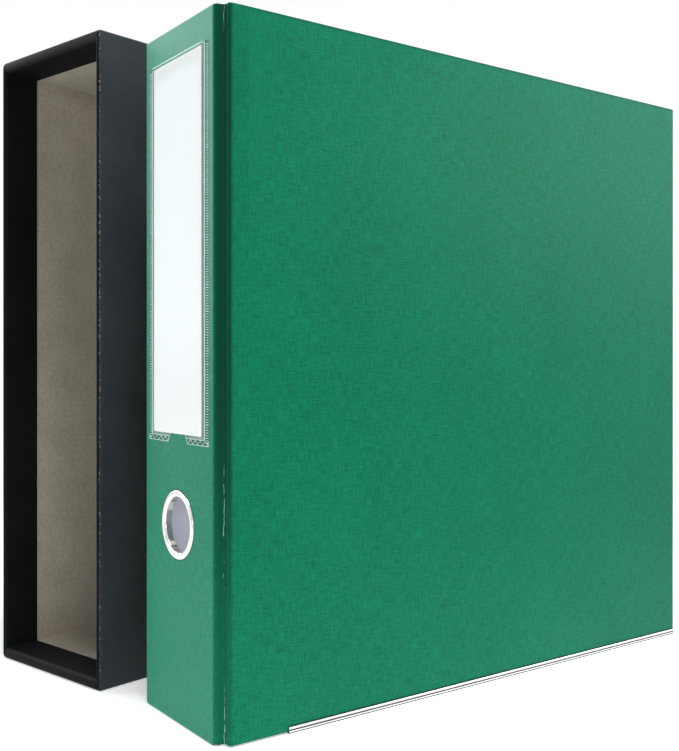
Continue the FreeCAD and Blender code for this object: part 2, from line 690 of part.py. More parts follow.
def leaf(number):
    name = f"leaf_{number}"
    drop = f"(sizes.leaf_drop - {number - 1} * (sizes.leaf_gauge + sizes.leaf_gap))"
    reach = f"sqrt(sizes.ring_radius ^ 2 - {drop} ^ 2)"
    half_wire = f"sizes.ring_wire / 2 * sizes.ring_radius / {reach}"
    tilt = f"sizes.leaf_gauge / 2 * abs({drop}) / {reach}"
    slot_start = f"({reach} - {half_wire} - {tilt} - sizes.leaf_seat)"
    body = doc.addObject("PartDesign::Body", f"{name}_body")
    outline = new_sketch(body, f"{name}_outline", "YZ_Plane")
    far_edge = f"({FORE_EDGE} - sizes.leaf_fore_room - sizes.ring_depth - sizes.ring_radius)"
    half_height = f"({MIDDLE} - sizes.leaf_end_room)"
    draw_outline(outline, [
        ("-sizes.leaf_margin", f"-{half_height}"), (far_edge, f"-{half_height}"),
        (far_edge, half_height), ("-sizes.leaf_margin", half_height),
    ])
    pad(body, outline, "sizes.leaf_gauge")
    punched = new_sketch(body, f"{name}_slot", "YZ_Plane")
    radius = "(sizes.ring_wire / 2 + sizes.leaf_play)"
    first_ring = f"-{(RING_COUNT - 1) / 2} * sizes.ring_spacing"
    slot_end = "(sizes.ring_wire + sizes.leaf_swing)"
    draw_slot(punched, radius, f"{slot_end} - {radius}", first_ring, radius)
    doc.recompute()
    pocket = body.newObject("PartDesign::Pocket", f"{name}_punch")
    pocket.Profile = punched
    pocket.Reversed = True
    pocket.Type = "ThroughAll"
    doc.recompute()
    pattern = body.newObject("PartDesign::LinearPattern", f"{name}_slots")
    pattern.Originals = [pocket]
    pattern.Direction = (punched, ["V_Axis"])
    pattern.Occurrences = RING_COUNT
    pattern.setExpression("Length", f"{RING_COUNT - 1} * sizes.ring_spacing")
    body.Tip = pattern
    place_body(
        body, f"{RING_CENTRE} - {drop} - sizes.leaf_gauge / 2",
        f"sizes.ring_depth + {slot_start}", MIDDLE,
    )
    keep(body, name)


for leaf_number in range(1, LEAF_COUNT + 1):
    leaf(leaf_number)

# The slipcase, in its own frame: across from the near wall, back from the mouth, up from the floor
SLIP_WALL = "(sizes.slip_side_board + sizes.slip_covering)"
SLIP_ROOM = f"(2 * ({COVER_FACE} + sizes.strip_gauge + sizes.slip_side_room))"
SLIP_WIDTH = f"({SLIP_ROOM} + 2 * {SLIP_WALL})"
SLIP_FLOOR = "(sizes.slip_covering + sizes.slip_end_board)"
SLIP_ROOF = f"({SLIP_FLOOR} + sizes.case_height + sizes.slip_head_room)"
SLIP_HEIGHT = f"({SLIP_ROOF} + {SLIP_FLOOR})"
SLIP_BACK = "(sizes.case_depth + sizes.slip_back_room)"
SLIP_DEPTH = f"({SLIP_BACK} + sizes.slip_back_board + sizes.slip_covering)"
PAPER = "sizes.slip_covering"


def slip_block(label, low, high):
    """A box of the slipcase, turned with it about its near corner."""
    box = block(label, low, high)
    angle = "(sizes.slip_yaw * 1deg)"
    box.setExpression("Placement.Rotation.Angle", angle)
    corner_x = f"(-{COVER_FACE} - sizes.strip_gauge - sizes.slip_gap)"
    corner_y = "(-sizes.slip_lead)"
    along_x = f"({low[0]}) * cos{angle} - ({low[1]}) * sin{angle}"
    along_y = f"({low[0]}) * sin{angle} + ({low[1]}) * cos{angle}"
    box.setExpression("Placement.Base.x", f"{corner_x} + {along_x}")
    box.setExpression("Placement.Base.y", f"{corner_y} + {along_y}")
    return box


def slipcase():
    left_in = f"({SLIP_WALL} - {SLIP_WIDTH})"
    right_in = f"(-{SLIP_WALL})"
    left_out, right_out = f"({PAPER} - {SLIP_WIDTH})", f"(-{PAPER})"
    lid = f"({SLIP_HEIGHT} - {PAPER})"
    rear = f"({SLIP_DEPTH} - {PAPER})"
    boards = {
        "left": ((left_out, PAPER, PAPER), (left_in, rear, lid)),
        "right": ((right_in, PAPER, PAPER), (right_out, rear, lid)),
        "bottom": ((left_in, PAPER, PAPER), (right_in, rear, SLIP_FLOOR)),
        "top": ((left_in, PAPER, SLIP_ROOF), (right_in, rear, lid)),
        "back": ((left_in, SLIP_BACK, SLIP_FLOOR), (right_in, rear, SLIP_ROOF)),
    }
    for name, (low, high) in boards.items():
        keep(slip_block(f"slip_{name}_sheet", low, high), f"slipcase_{name}_board")
    sheets = {
        "left": ((f"-{SLIP_WIDTH}", "0", "0"), (left_out, SLIP_DEPTH, SLIP_HEIGHT)),
        "right": ((right_out, "0", "0"), ("0", SLIP_DEPTH, SLIP_HEIGHT)),
        "bottom": ((left_out, "0", "0"), (right_out, SLIP_DEPTH, PAPER)),
        "top": ((left_out, "0", lid), (right_out, SLIP_DEPTH, SLIP_HEIGHT)),
        "back": ((left_out, rear, PAPER), (right_out, SLIP_DEPTH, lid)),
    }
    papers = [slip_block(f"slip_{name}_paper", low, high) for name, (low, high) in sheets.items()]
    keep(group("slip_papers", papers), "slipcase_covering")
    turned = "sizes.slip_turn_in"
    left_face, right_face = f"({left_in} + {PAPER})", f"({right_in} - {PAPER})"
    folds = {
        "left_lip": ((left_out, "0", PAPER), (left_in, PAPER, lid)),
        "right_lip": ((right_in, "0", PAPER), (right_out, PAPER, lid)),
        "bottom_lip": ((left_in, "0", PAPER), (right_in, PAPER, SLIP_FLOOR)),
        "top_lip": ((left_in, "0", SLIP_ROOF), (right_in, PAPER, lid)),
        "left_turn": ((left_in, "0", SLIP_FLOOR), (left_face, turned, SLIP_ROOF)),
        "right_turn": ((right_face, "0", SLIP_FLOOR), (right_in, turned, SLIP_ROOF)),
        "bottom_turn": ((left_face, "0", SLIP_FLOOR), (right_face, turned, f"{SLIP_FLOOR} + {PAPER}")),
        "top_turn": ((left_face, "0", f"{SLIP_ROOF} - {PAPER}"), (right_face, turned, SLIP_ROOF)),
    }
    turn_ins = [slip_block(f"slip_{name}", low, high) for name, (low, high) in folds.items()]
    keep(group("slip_turn_ins", turn_ins), "slipcase_turn_in")


slipcase()

# Check every piece, then write each to its own file
doc.recompute()
failed = [item.Name for item in doc.Objects if "Invalid" in item.State or "Error" in item.State]
if failed:
    raise RuntimeError(f"objects that failed: {failed}")
for node in nodes:
    if node.Shape.isNull() or not node.Shape.isValid() or not node.Shape.Solids:
        raise RuntimeError(f"no valid solid in {node.Label}")
for node in nodes:
    node.Shape.exportStep(os.path.join("parts", f"{node.Label}.step"))
    print(f"{node.Label}: {len(node.Shape.Solids)} solids, {node.Shape.Volume:.1f} mm3")
print(f"{len(nodes)} nodes")
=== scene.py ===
# %% [markdown]
# # A ring album and its slipcase
# The album stands upright beside an empty slipcase. The measured solids arrive as a fixed frame, and this
# lesson dresses them: cloth-embossed covering, a nickel finger ring, a clear label pocket, metal edge
# strips and the black paper of the slipcase. The frame could be copied in by hand, but loading it keeps
# every piece where the construction says, so nothing has to be fitted by eye.

# %% Load the frame
import json
import math

import bpy
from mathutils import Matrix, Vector, noise


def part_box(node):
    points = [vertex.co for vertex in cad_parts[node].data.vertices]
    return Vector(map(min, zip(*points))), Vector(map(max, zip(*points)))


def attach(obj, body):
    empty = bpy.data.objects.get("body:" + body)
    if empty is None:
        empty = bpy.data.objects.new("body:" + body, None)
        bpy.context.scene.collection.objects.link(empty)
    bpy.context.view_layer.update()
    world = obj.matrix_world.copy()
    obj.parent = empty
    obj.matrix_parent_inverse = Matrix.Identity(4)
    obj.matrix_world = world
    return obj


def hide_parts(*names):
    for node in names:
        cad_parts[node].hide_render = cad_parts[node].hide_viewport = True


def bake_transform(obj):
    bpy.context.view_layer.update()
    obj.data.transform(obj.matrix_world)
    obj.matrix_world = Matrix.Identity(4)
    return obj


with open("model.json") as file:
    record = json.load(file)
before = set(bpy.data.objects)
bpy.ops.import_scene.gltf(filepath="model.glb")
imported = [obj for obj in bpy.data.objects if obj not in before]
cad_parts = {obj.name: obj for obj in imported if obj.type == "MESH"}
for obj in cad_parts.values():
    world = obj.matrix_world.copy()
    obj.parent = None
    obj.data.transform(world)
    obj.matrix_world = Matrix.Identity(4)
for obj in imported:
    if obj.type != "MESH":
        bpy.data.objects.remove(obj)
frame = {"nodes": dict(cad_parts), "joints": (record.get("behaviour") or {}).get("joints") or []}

MM = 0.001
scene = bpy.context.scene
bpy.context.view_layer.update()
nodes = frame["nodes"]
joints = {joint["name"]: joint for joint in frame["joints"]}

# %% [markdown]
# ## The camera
# The photograph was taken from a little above half the album's height, past the corner between spine and
# front cover. The optical axis misses the middle of the frame, as in a cropped picture. The camera could
# be turned to centre it, but that would tilt the upright edges, so the lens is shifted instead.

# %% Camera
PHOTO_SIZE = (679, 751)
FOCAL_PIXELS = 1001
AXIS_PIXEL = (377, 363.5)
CAMERA_PLACE = Vector((0.4211, -0.2041, 0.1653))
CAMERA_LOOK = Vector((-0.7993, 0.6009, -0.0008))
camera_data = bpy.data.cameras.new("photo_camera")
camera_data.sensor_width = 36
camera_data.lens = FOCAL_PIXELS / PHOTO_SIZE[1] * camera_data.sensor_width
camera_data.shift_x = (PHOTO_SIZE[0] / 2 - AXIS_PIXEL[0]) / PHOTO_SIZE[1]
camera_data.shift_y = (AXIS_PIXEL[1] - PHOTO_SIZE[1] / 2) / PHOTO_SIZE[1]
camera = bpy.data.objects.new("photo_camera", camera_data)
camera.location = CAMERA_PLACE
camera.rotation_euler = CAMERA_LOOK.to_track_quat("-Z", "Y").to_euler()
scene.collection.objects.link(camera)
scene.camera = camera
scene.view_settings.view_transform = "Standard"
print(f"lens {camera_data.lens:.1f} mm, shift {camera_data.shift_x:.3f}, {camera_data.shift_y:.3f}")

# %% [markdown]
# ## Writing node trees as sums
# Materials are easier to read as formulas than as lists of nodes and links. One small class stands for a
# node's output and turns each operator into a Math node. A second owns a tree, for a material or for
# Geometry Nodes, and adds any node to it. A finish is a tree with one Principled shader, which serves for
# everything here, from linen to nickel.

# %% Values
class Value:
    """A node's output that takes part in sums: each operator adds one Math node."""

    def __init__(self, graph, socket):
        self.graph = graph
        self.socket = socket

    def other(self, output):
        """Another output of the same node."""
        return Value(self.graph, self.socket.node.outputs[output])

    def __add__(self, other):
        return self.graph.math("ADD", self, other)

    def __radd__(self, other):
        return self.graph.math("ADD", other, self)

    def __sub__(self, other):
        return self.graph.math("SUBTRACT", self, other)

    def __mul__(self, other):
        return self.graph.math("MULTIPLY", self, other)

    def __truediv__(self, other):
        return self.graph.math("DIVIDE", self, other)


print("sums are written with Value")

# %% Trees
class Graph:
    """A node tree that is written with Values."""

    def __init__(self, tree):
        self.tree = tree

    def add(self, kind, inputs=None, output=0, **settings):
        """Add a node: its settings first, then the numbers or links of its sockets."""
        node = self.tree.nodes.new(kind)
        for key, setting in settings.items():
            setattr(node, key, setting)
        for key, value in (inputs or {}).items():
            self.feed(node.inputs[key], value)
        return Value(self, node.outputs[output])

    def feed(self, socket, value):
        """Link a Value to a socket, or set the socket to a constant."""
        if isinstance(value, Value):
            self.tree.links.new(value.socket, socket)
        else:
            socket.default_value = value

    def math(self, operation, *terms):
        return self.add("ShaderNodeMath", dict(enumerate(terms)), operation=operation)

    def vector(self, x=0.0, y=0.0, z=0.0):
        return self.add("ShaderNodeCombineXYZ", {0: x, 1: y, 2: z})

    def mixed(self, share, first, second):
        """A colour between two others."""
        return self.add("ShaderNodeMix", {0: share, 6: first, 7: second}, 2, data_type="RGBA")

    def shaded(self, share, first, second):
        """A shader between two others."""
        return self.add("ShaderNodeMixShader", {0: share, 1: first, 2: second})

    def clamped(self, low, high, value):
        """0 at the low number, 1 at the high one, and smooth between them."""
        return self.add("ShaderNodeMapRange", {0: value, 1: low, 2: high}, interpolation_type="SMOOTHSTEP")


print("trees are written with Graph")

# %% Finishes
class Finish(Graph):
    """A material with one Principled shader."""

    def __init__(self, name):
        self.material = bpy.data.materials.new(name)
        self.material.use_nodes = True
        super().__init__(self.material.node_tree)
        self.shader = self.tree.nodes["Principled BSDF"]

    def point(self):
        """The place on the object, in metres."""
        return self.add("ShaderNodeTexCoord", output="Object")

    def number(self, label):
        """A number that the mesh carries."""
        return self.add("ShaderNodeAttribute", output="Fac", attribute_name=label)

    def surface(self, sockets):
        for name, value in sockets.items():
            self.feed(self.shader.inputs[name], value)

    def bumped(self, height, strength, depth):
        """A relief of the given depth in millimetres, from a height between 0 and 1."""
        sockets = {"Height": height, "Strength": strength, "Distance": depth * MM}
        self.surface({"Normal": self.add("ShaderNodeBump", sockets)})


def colour(red, green, blue):
    """A screen colour, 0 to 255, as the linear numbers that sockets take."""
    parts = [channel / 255 for channel in (red, green, blue)]
    linear = [part / 12.92 if part <= 0.04045 else ((part + 0.055) / 1.055) ** 2.4 for part in parts]
    return (*linear, 1.0)


print("materials are written with Finish")

# %% [markdown]
# ## Floor and sky
# A product picture has a white ground with a faint shadow. The ground could be lit until it clips, but
# that would burn out the album too. So the floor glows a little for the rays that look at it and turns
# plain white further out, where it meets the sky without a line. Near the object it gives light, as a
# light table does.

# %% Floor
WHITE = (1, 1, 1, 1)
FLOOR_GLOW = 0.42
TABLE_GLOW = 0.55
TABLE_REACH = (0.2, 0.42)
WHITE_REACH = (0.35, 1.0)


def seen_directly(graph):
    """1 for rays that show a surface to the camera, straight or by reflection, and 0 for light it gives."""
    ray = graph.add("ShaderNodeLightPath", output="Is Camera Ray")
    return ray + ray.other("Is Glossy Ray") + ray.other("Is Transmission Ray")


floor_finish = Finish("white_floor")
floor_finish.surface({"Base Color": colour(238, 238, 238), "Roughness": 0.7})
floor_shader = Value(floor_finish, floor_finish.shader.outputs[0])
floor_point = floor_finish.point()
floor_reach = floor_finish.add("ShaderNodeVectorMath", {0: floor_point}, "Value", operation="LENGTH")


def floor_with(strength):
    """The floor's shader with some glow added."""
    glow = floor_finish.add("ShaderNodeEmission", {"Color": WHITE, "Strength": strength})
    return floor_finish.add("ShaderNodeAddShader", {0: floor_shader, 1: glow})


plain_white = floor_finish.add("ShaderNodeEmission", {"Color": WHITE, "Strength": 1.0})
far_off = floor_finish.clamped(*WHITE_REACH, floor_reach)
off_table = floor_finish.clamped(*TABLE_REACH, floor_reach)
looked_at = floor_finish.shaded(far_off, floor_with(FLOOR_GLOW), plain_white)
giving = floor_finish.shaded(off_table, floor_with(TABLE_GLOW), floor_shader)
floor_surface = floor_finish.shaded(seen_directly(floor_finish), giving, looked_at)
floor_finish.feed(floor_finish.tree.nodes["Material Output"].inputs["Surface"], floor_surface)

bpy.ops.mesh.primitive_plane_add(size=12)
floor = bpy.context.active_object
floor.name = "studio_floor"
floor.data.materials.append(floor_finish.material)
print("white floor")

# %% Sky
world = bpy.data.worlds.new("studio")
world.use_nodes = True
scene.world = world
sky = Graph(world.node_tree)
soft_sky = sky.add("ShaderNodeBackground", {"Color": WHITE, "Strength": 0.08})
white_sky = sky.add("ShaderNodeBackground", {"Color": WHITE, "Strength": 1.0})
sky_surface = sky.shaded(seen_directly(sky), soft_sky, white_sky)
sky.feed(world.node_tree.nodes["World Output"].inputs["Surface"], sky_surface)
print("white sky")

# %% [markdown]
# ## Lamps
# The photograph has soft light from the left, the right and above, and little from the front, which keeps
# the groove dark. One big lamp would flatten that, so four softboxes share the work, and the left one is
# bluish.

# %% Lamps
def softbox(name, place, target, size, watts, tint=(1, 1, 1)):
    lamp = bpy.data.lights.new(name, "AREA")
    lamp.shape = "RECTANGLE"
    lamp.size, lamp.size_y = size
    lamp.energy = watts
    lamp.color = tint
    holder = bpy.data.objects.new(name, lamp)
    holder.location = place
    holder.rotation_euler = (Vector(target) - Vector(place)).to_track_quat("-Z", "Y").to_euler()
    scene.collection.objects.link(holder)


album_middle = (0.0, 0.08, 0.16)
softbox("left_window", (-1.45, -0.75, 0.7), album_middle, (1.4, 1.1), 26, (0.89, 0.98, 1.0))
softbox("right_window", (0.85, 1.2, 0.7), album_middle, (0.8, 0.8), 7.2)
softbox("overhead", (0.22, 0.03, 1.35), album_middle, (0.35, 0.35), 15.5)
softbox("front_fill", (1.4, -0.75, 0.4), album_middle, (0.3, 0.3), 3.6)
print("four softboxes")

# %% [markdown]
# ## Green linen covering
# The case is covered in paper or thin plastic that is embossed like linen: fine threads, up and across,
# with uneven places. An image of cloth would do, but threads made from stretched noise have no repeat and
# any scale. The pattern runs on the distance along the surface, so it passes over the hinges without a
# seam. Where a fold is bent, the colour breaks to a pale green, partly whitening and partly a painted
# highlight. Shade is painted darker in the groove and at the edges. The mesh carries numbers that say
# where.

# %% Linen
WEAVE_TURN = 2 * math.pi / 1.25
FINE, LONG = 0.6, 6


def along_surface(finish, folded=True):
    """Millimetres along the case, and up it. Folded means outwards from its middle plane on both sides."""
    parts = finish.add("ShaderNodeSeparateXYZ", {0: finish.point()})
    sideways = finish.math("ABSOLUTE", parts) if folded else parts
    return (sideways + parts.other("Y")) / MM, parts.other("Z") / MM


def stretched(finish, across, up, wide, tall, detail=2.0):
    """Noise whose cells are the given millimetres wide and tall."""
    place = finish.vector(across / wide, up / tall)
    return finish.add("ShaderNodeTexNoise", {"Vector": place, "Scale": 1.0, "Detail": detail})


def linen(name, deep, bright, painted_shade, whitening_and_highlight_colour):
    """Covering with threads. The piece's own numbers say where shade is painted darker and where the crease
    is painted pale.
    """
    finish = Finish(name)
    across, up = along_surface(finish)
    upright = stretched(finish, across, up, FINE, LONG)
    level = stretched(finish, across, up, LONG, FINE)
    patch = stretched(finish, across, up, 45, 60)
    crossing = finish.math("SINE", across * WEAVE_TURN) * finish.math("SINE", up * WEAVE_TURN)
    threads = 0.15 + (upright + level) * 0.35 + crossing * 0.17
    woven = finish.mixed(finish.clamped(0.34, 0.66, threads * 0.92 + patch * 0.08), deep, bright)
    crumbled = stretched(finish, across, up, 0.5, 0.9, 3.0)
    # The crease's pale colour: partly whitening of the covering, partly a painted highlight.
    whitening_and_highlight_share = finish.clamped(0.35, 0.8, finish.number("whitening_and_highlight") * (0.45 + crumbled * 1.1))
    # Painted shade: the covering turns to its third colour where the mesh says so.
    shade_painted = finish.mixed(finish.number("shade_paint"), woven, painted_shade)
    finish.surface({
        "Base Color": finish.mixed(whitening_and_highlight_share, shade_painted, whitening_and_highlight_colour),
        "Roughness": 0.36 + threads * 0.16, "Specular IOR Level": 0.08,
        "Sheen Weight": 0.34, "Sheen Roughness": 0.4, "Sheen Tint": colour(140, 246, 232),
    })
    finish.bumped(threads + patch * 0.2, 0.5, 0.2)
    return finish.material


# The third colour is painted shade; the fourth is the crease's pale, partly whitening and partly a painted
# highlight.
green_linen = linen(
    "green_linen", colour(0, 88, 61), colour(8, 137, 99), colour(0, 70, 48), colour(178, 222, 204),
)
# Linen painted dark all over, for painted shade and shadow round the ring, above the strips and under the
# welds.
SHADE_GREENS = (colour(0, 58, 40), colour(4, 84, 59))
bitten_linen = linen("bitten_linen", *SHADE_GREENS, SHADE_GREENS[0], SHADE_GREENS[0])
print("linen ready")

# %% [markdown]
# ## Pieces
# Every piece is a mesh built from points and faces, so its size follows the frame. Primitives would do for
# boxes, but not for folds and welds. A piece can carry numbers for its finish and take over what a
# modifier makes.

# %% Pieces
def piece(name, vertices, faces, material, slot, sharp=35):
    """A mesh object at the origin, smooth except at edges sharper than an angle."""
    mesh = bpy.data.meshes.new(name)
    mesh.from_pydata([tuple(vertex) for vertex in vertices], [], faces)
    mesh.materials.append(material)
    mesh.shade_smooth()
    mesh.set_sharp_from_angle(angle=math.radians(sharp))
    made = bpy.data.objects.new(name, mesh)
    scene.collection.objects.link(made)
    print(f"{name}: {len(mesh.polygons)} faces")
    return made


def mark(made, label, numbers):
    """Give each vertex of a piece a number that its material reads by name."""
    layer = made.data.attributes.new(label, "FLOAT", "POINT")
    layer.data.foreach_set("value", numbers)


def baked(made):
    """Give a piece the mesh that its modifiers make."""
    done = bpy.data.meshes.new_from_object(made.evaluated_get(bpy.context.evaluated_depsgraph_get()))
    made.modifiers.clear()
    made.data = done


def modified(made, kind, **settings):
    """Apply one modifier to a piece."""
    modifier = made.modifiers.new(kind.lower(), kind)
    for key, setting in settings.items():
        setattr(modifier, key, setting)
    baked(made)


print("pieces are made from points and faces")

# %% [markdown]
# ## Raising a covered board
# A covered board is a flat slab whose edges are softened by the covering that wraps them. A cube with a
# bevel would do for a cover, but not for the fold between two boards. So each piece is an outline in plan,
# raised to its height, with its head and foot rounded inwards by an amount that each point of the outline
# brings. Arcs round its corners, and ramps fade its colours.

# %% Outlines
EDGE_ROUND = 0.8 * MM
INNER_ROUND = 0.2 * MM
ROUND_STEPS = [math.radians(degrees) for degrees in (90, 60, 30, 0)]


def bridged(count, levels):
    """Faces of a stack of closed rings with the same count of points, and of the caps at its two ends."""
    faces = [tuple(reversed(range(count))), tuple(range((levels - 1) * count, levels * count))]
    for start in range(0, (levels - 1) * count, count):
        for index in range(count):
            after = (index + 1) % count
            faces.append((start + index, start + after, start + count + after, start + count + index))
    return faces


def raise_outline(outline, foot, head, rows, shape=None):
    """Vertices and faces of a closed outline raised from foot to head.

    An outline point is (x, y), its outward direction and the radius that rounds it at head and foot.
    """
    rounding = [(1 - math.cos(angle), 1 - math.sin(angle)) for angle in ROUND_STEPS]
    rings = [(inset, lift, 0.0) for inset, lift in rounding]
    rings += [(0.0, 1.0, row / rows) for row in range(1, rows)]
    rings += [(inset, lift, 1.0) for inset, lift in reversed(rounding)]
    vertices = []
    for inset, lift, share in rings:
        for index, ((x, y), (out_x, out_y), radius) in enumerate(outline):
            low = foot + radius * lift
            high = head - radius * lift
            z = low + (high - low) * share
            swell = shape(index, z) if shape else 0.0
            reach = swell - inset * radius
            vertices.append(Vector((x + out_x * reach, y + out_y * reach, z)))
    return vertices, bridged(len(outline), len(rings))


def mirrored(outline):
    """The same outline on the other side of the album's middle plane."""
    return [((-x, y), (-out_x, out_y), radius) for (x, y), (out_x, out_y), radius in reversed(outline)]


print("outlines can be raised and mirrored")

# %% Arcs and ramps
def arc(centre, radius, start, end, steps=6):
    """Points round a centre from one angle to another, each with its outward direction."""
    points = []
    for step in range(steps + 1):
        angle = math.radians(start + (end - start) * step / steps)
        out = (math.cos(angle), math.sin(angle))
        points.append(((centre[0] + radius * out[0], centre[1] + radius * out[1]), out))
    return points


def rounded_rectangle(low, high, radius, steps=6):
    """Points round a rectangle, from the foot of its right side up and over to the left."""
    near_x, far_x = low[0] + radius, high[0] - radius
    near_z, far_z = low[1] + radius, high[1] - radius
    corners = ((far_x, near_z, -90), (far_x, far_z, 0), (near_x, far_z, 90), (near_x, near_z, 180))
    return [
        point for x, z, start in corners for point, _ in arc((x, z), radius, start, start + 90, steps)
    ]


def ramp(value, low, high):
    """0 up to the low number, 1 from the high one, and straight between them."""
    return min(1.0, max(0.0, (value - low) / (high - low)))


def eased(share):
    """A ramp's share with a soft start and end."""
    return share * share * (3 - 2 * share)


def painted_foot_shade(z, foot):
    """1 at the very foot of a piece, as painted shade where it meets the floor, and 0 above its rounded
    edge.
    """
    return 1 - ramp(z, foot, foot + EDGE_ROUND)


print("arcs and ramps")

# %% [markdown]
# ## The covers
# Each cover is a board wrapped in linen, rounded at the fore-edge, more on its outside than on its inside.
# It ends at a seam beside the groove, where the fold takes over, so that the fold alone has to bend.

# %% Covers
spine_low, spine_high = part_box("spine_covering")
cover_low, cover_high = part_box("front_covering")
SPINE_SEAM = spine_high.x - 1.5 * MM
COVER_SEAM = cover_low.y + 8 * MM
COVER_INSIDE = cover_low.x - 0.15 * MM
SPINE_INSIDE = spine_high.y + 0.1 * MM
OUTER_CORNER = 1.0 * MM
INNER_CORNER = 0.6 * MM
INNER_CORNER_ROUND = 0.5 * MM

outer_corner = arc((cover_high.x - OUTER_CORNER, cover_high.y - OUTER_CORNER), OUTER_CORNER, 0, 90)
inner_corner = arc((COVER_INSIDE + INNER_CORNER, cover_high.y - INNER_CORNER), INNER_CORNER, 90, 180)
cover_outline = [
    ((cover_high.x, COVER_SEAM), (1, 0), EDGE_ROUND),
    *[(point, out, EDGE_ROUND) for point, out in outer_corner],
    *[(point, out, INNER_CORNER_ROUND) for point, out in inner_corner],
    ((COVER_INSIDE, COVER_SEAM), (-1, 0), INNER_ROUND),
]
for side, outline in (("front", cover_outline), ("back", mirrored(cover_outline))):
    made = piece(
        f"{side}_cover_linen", *raise_outline(outline, cover_low.z, cover_high.z, 2),
        green_linen, "green_covering",
    )
    # The foot is painted darker, as its shade on the floor.
    mark(made, "shade_paint", [painted_foot_shade(vertex.co.z, cover_low.z) for vertex in made.data.vertices])
    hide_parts(f"{side}_covering")
    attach(made, f"{side}_cover")

# %% [markdown]
# ## The spine and its hole
# The spine is the same kind of slab with a round hole for the finger ring. The hole could be drawn into
# the outline, but a Boolean cut is shorter, and its rim is hidden under the ring's flange.

# %% Spine
RING_FACETS = 96
BARREL_RADIUS = 13.2 * MM
DRILL_LENGTH = 20 * MM
ring_low, ring_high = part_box("finger_ring")
ring_centre = (ring_low + ring_high) / 2
spine_outline = [
    ((-SPINE_SEAM, spine_low.y), (0, -1), EDGE_ROUND), ((SPINE_SEAM, spine_low.y), (0, -1), EDGE_ROUND),
    ((SPINE_SEAM, SPINE_INSIDE), (0, 1), INNER_ROUND), ((-SPINE_SEAM, SPINE_INSIDE), (0, 1), INNER_ROUND),
]
spine_linen = piece(
    "spine_linen", *raise_outline(spine_outline, spine_low.z, spine_high.z, 2),
    green_linen, "green_covering",
)
bpy.ops.mesh.primitive_cylinder_add(
    vertices=RING_FACETS, radius=BARREL_RADIUS, depth=DRILL_LENGTH,
    location=(ring_centre.x, 0, ring_centre.z), rotation=(math.pi / 2, 0, 0),
)
drill = bpy.context.active_object
modified(spine_linen, "BOOLEAN", operation="DIFFERENCE", object=drill, solver="EXACT")
bpy.data.objects.remove(drill)
# The foot is painted darker, as its shade on the floor.
mark(spine_linen, "shade_paint", [painted_foot_shade(vertex.co.z, spine_low.z) for vertex in spine_linen.data.vertices])
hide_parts("spine_covering")
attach(spine_linen, "spine")
print("spine drilled:", len(spine_linen.data.polygons), "faces")

# %% [markdown]
# ## The hinge groove
# Between spine and cover the covering is pressed into a groove, where it bends each time the cover opens.
# Its path runs round the hinge's axis and is softened by averaging. A spline would be as smooth, but a
# crease is simple to place on even steps. The groove is painted darker as the shade in it, and less
# dark towards the foot.

# %% Groove
hinge_axis = Vector(joints["front_cover_hinge"]["pos_m"]).to_2d()
spine_corner = Vector((spine_high.x, spine_low.y))
cover_corner = Vector((cover_high.x, cover_low.y))
along_fold = (cover_corner - spine_corner).normalized()
fold_outward = Vector((along_fold.y, -along_fold.x))
GROOVE_TURN = math.radians(73)
GROOVE_RADIUS = 2.0 * MM
WEB_RADIUS = GROOVE_RADIUS + 0.6 * MM
FOLD_STEP = 0.14 * MM
SOFT_PASSES = 24


def on_groove(radius, share):
    """A point round the hinge's axis: share 0 at the groove's bottom, -1 on the spine, 1 on the cover."""
    angle = share * GROOVE_TURN
    return hinge_axis + (along_fold * math.sin(angle) - fold_outward * math.cos(angle)) * radius


def walked(points, step):
    """Points at even steps along straight runs between corners."""
    path = []
    for near, far in zip(points, points[1:]):
        count = max(1, round((far - near).length / step))
        path += [near.lerp(far, index / count) for index in range(count)]
    path.append(points[-1])
    return path


def softened(path, passes):
    """Average each point with its neighbours, with the ends held."""
    for _ in range(passes):
        middle = [(a + 2 * b + c) / 4 for a, b, c in zip(path, path[1:], path[2:])]
        path = [path[0], *middle, path[-1]]
    return path


outer_path = softened(walked([
    Vector((SPINE_SEAM, spine_low.y)), spine_corner,
    *[on_groove(GROOVE_RADIUS, share / 12) for share in range(-12, 13)],
    cover_corner, Vector((cover_high.x, COVER_SEAM)),
], FOLD_STEP), SOFT_PASSES)
inner_path = [
    Vector((COVER_INSIDE, COVER_SEAM)), Vector((COVER_INSIDE, cover_low.y)),
    *[on_groove(WEB_RADIUS, share / 10) for share in range(6, -7, -2)],
    Vector((spine_high.x + 0.1 * MM, SPINE_INSIDE)), Vector((SPINE_SEAM, SPINE_INSIDE)),
]
print(len(outer_path), "points across the fold")

# %% Fold outline
GROOVE_ROUND = 0.25 * MM
ROUND_FROM, ROUND_TO = 2.5 * MM, 4.5 * MM
# The groove's painted shade fades out towards the boards and grows lighter towards the foot.
SHADE_FADE = 1.2 * MM
SHADE_MARGIN = 0.2 * MM
SHADE_DEEPENS_FROM, SHADE_DEEPENS_TO = 20 * MM, 150 * MM
FOOT_SHADE_SHARE = 0.35


def outward_along(path):
    """The direction out of the album at each point of a path that runs from spine to cover."""
    directions = []
    for before, after in zip([path[0], *path[:-1]], [*path[1:], path[-1]]):
        run = (after - before).normalized()
        directions.append((run.y, -run.x))
    directions[0], directions[-1] = (0, -1), (1, 0)
    return directions


def groove_shade_across(point):
    """How much painted shade the fold takes at a point of its path: 1 in the groove, 0 on the boards."""
    if point.x <= spine_corner.x - SHADE_MARGIN or point.y >= cover_corner.y + SHADE_MARGIN:
        return 0.0
    return min(1.0, min((point - corner).length for corner in (spine_corner, cover_corner)) / SHADE_FADE)


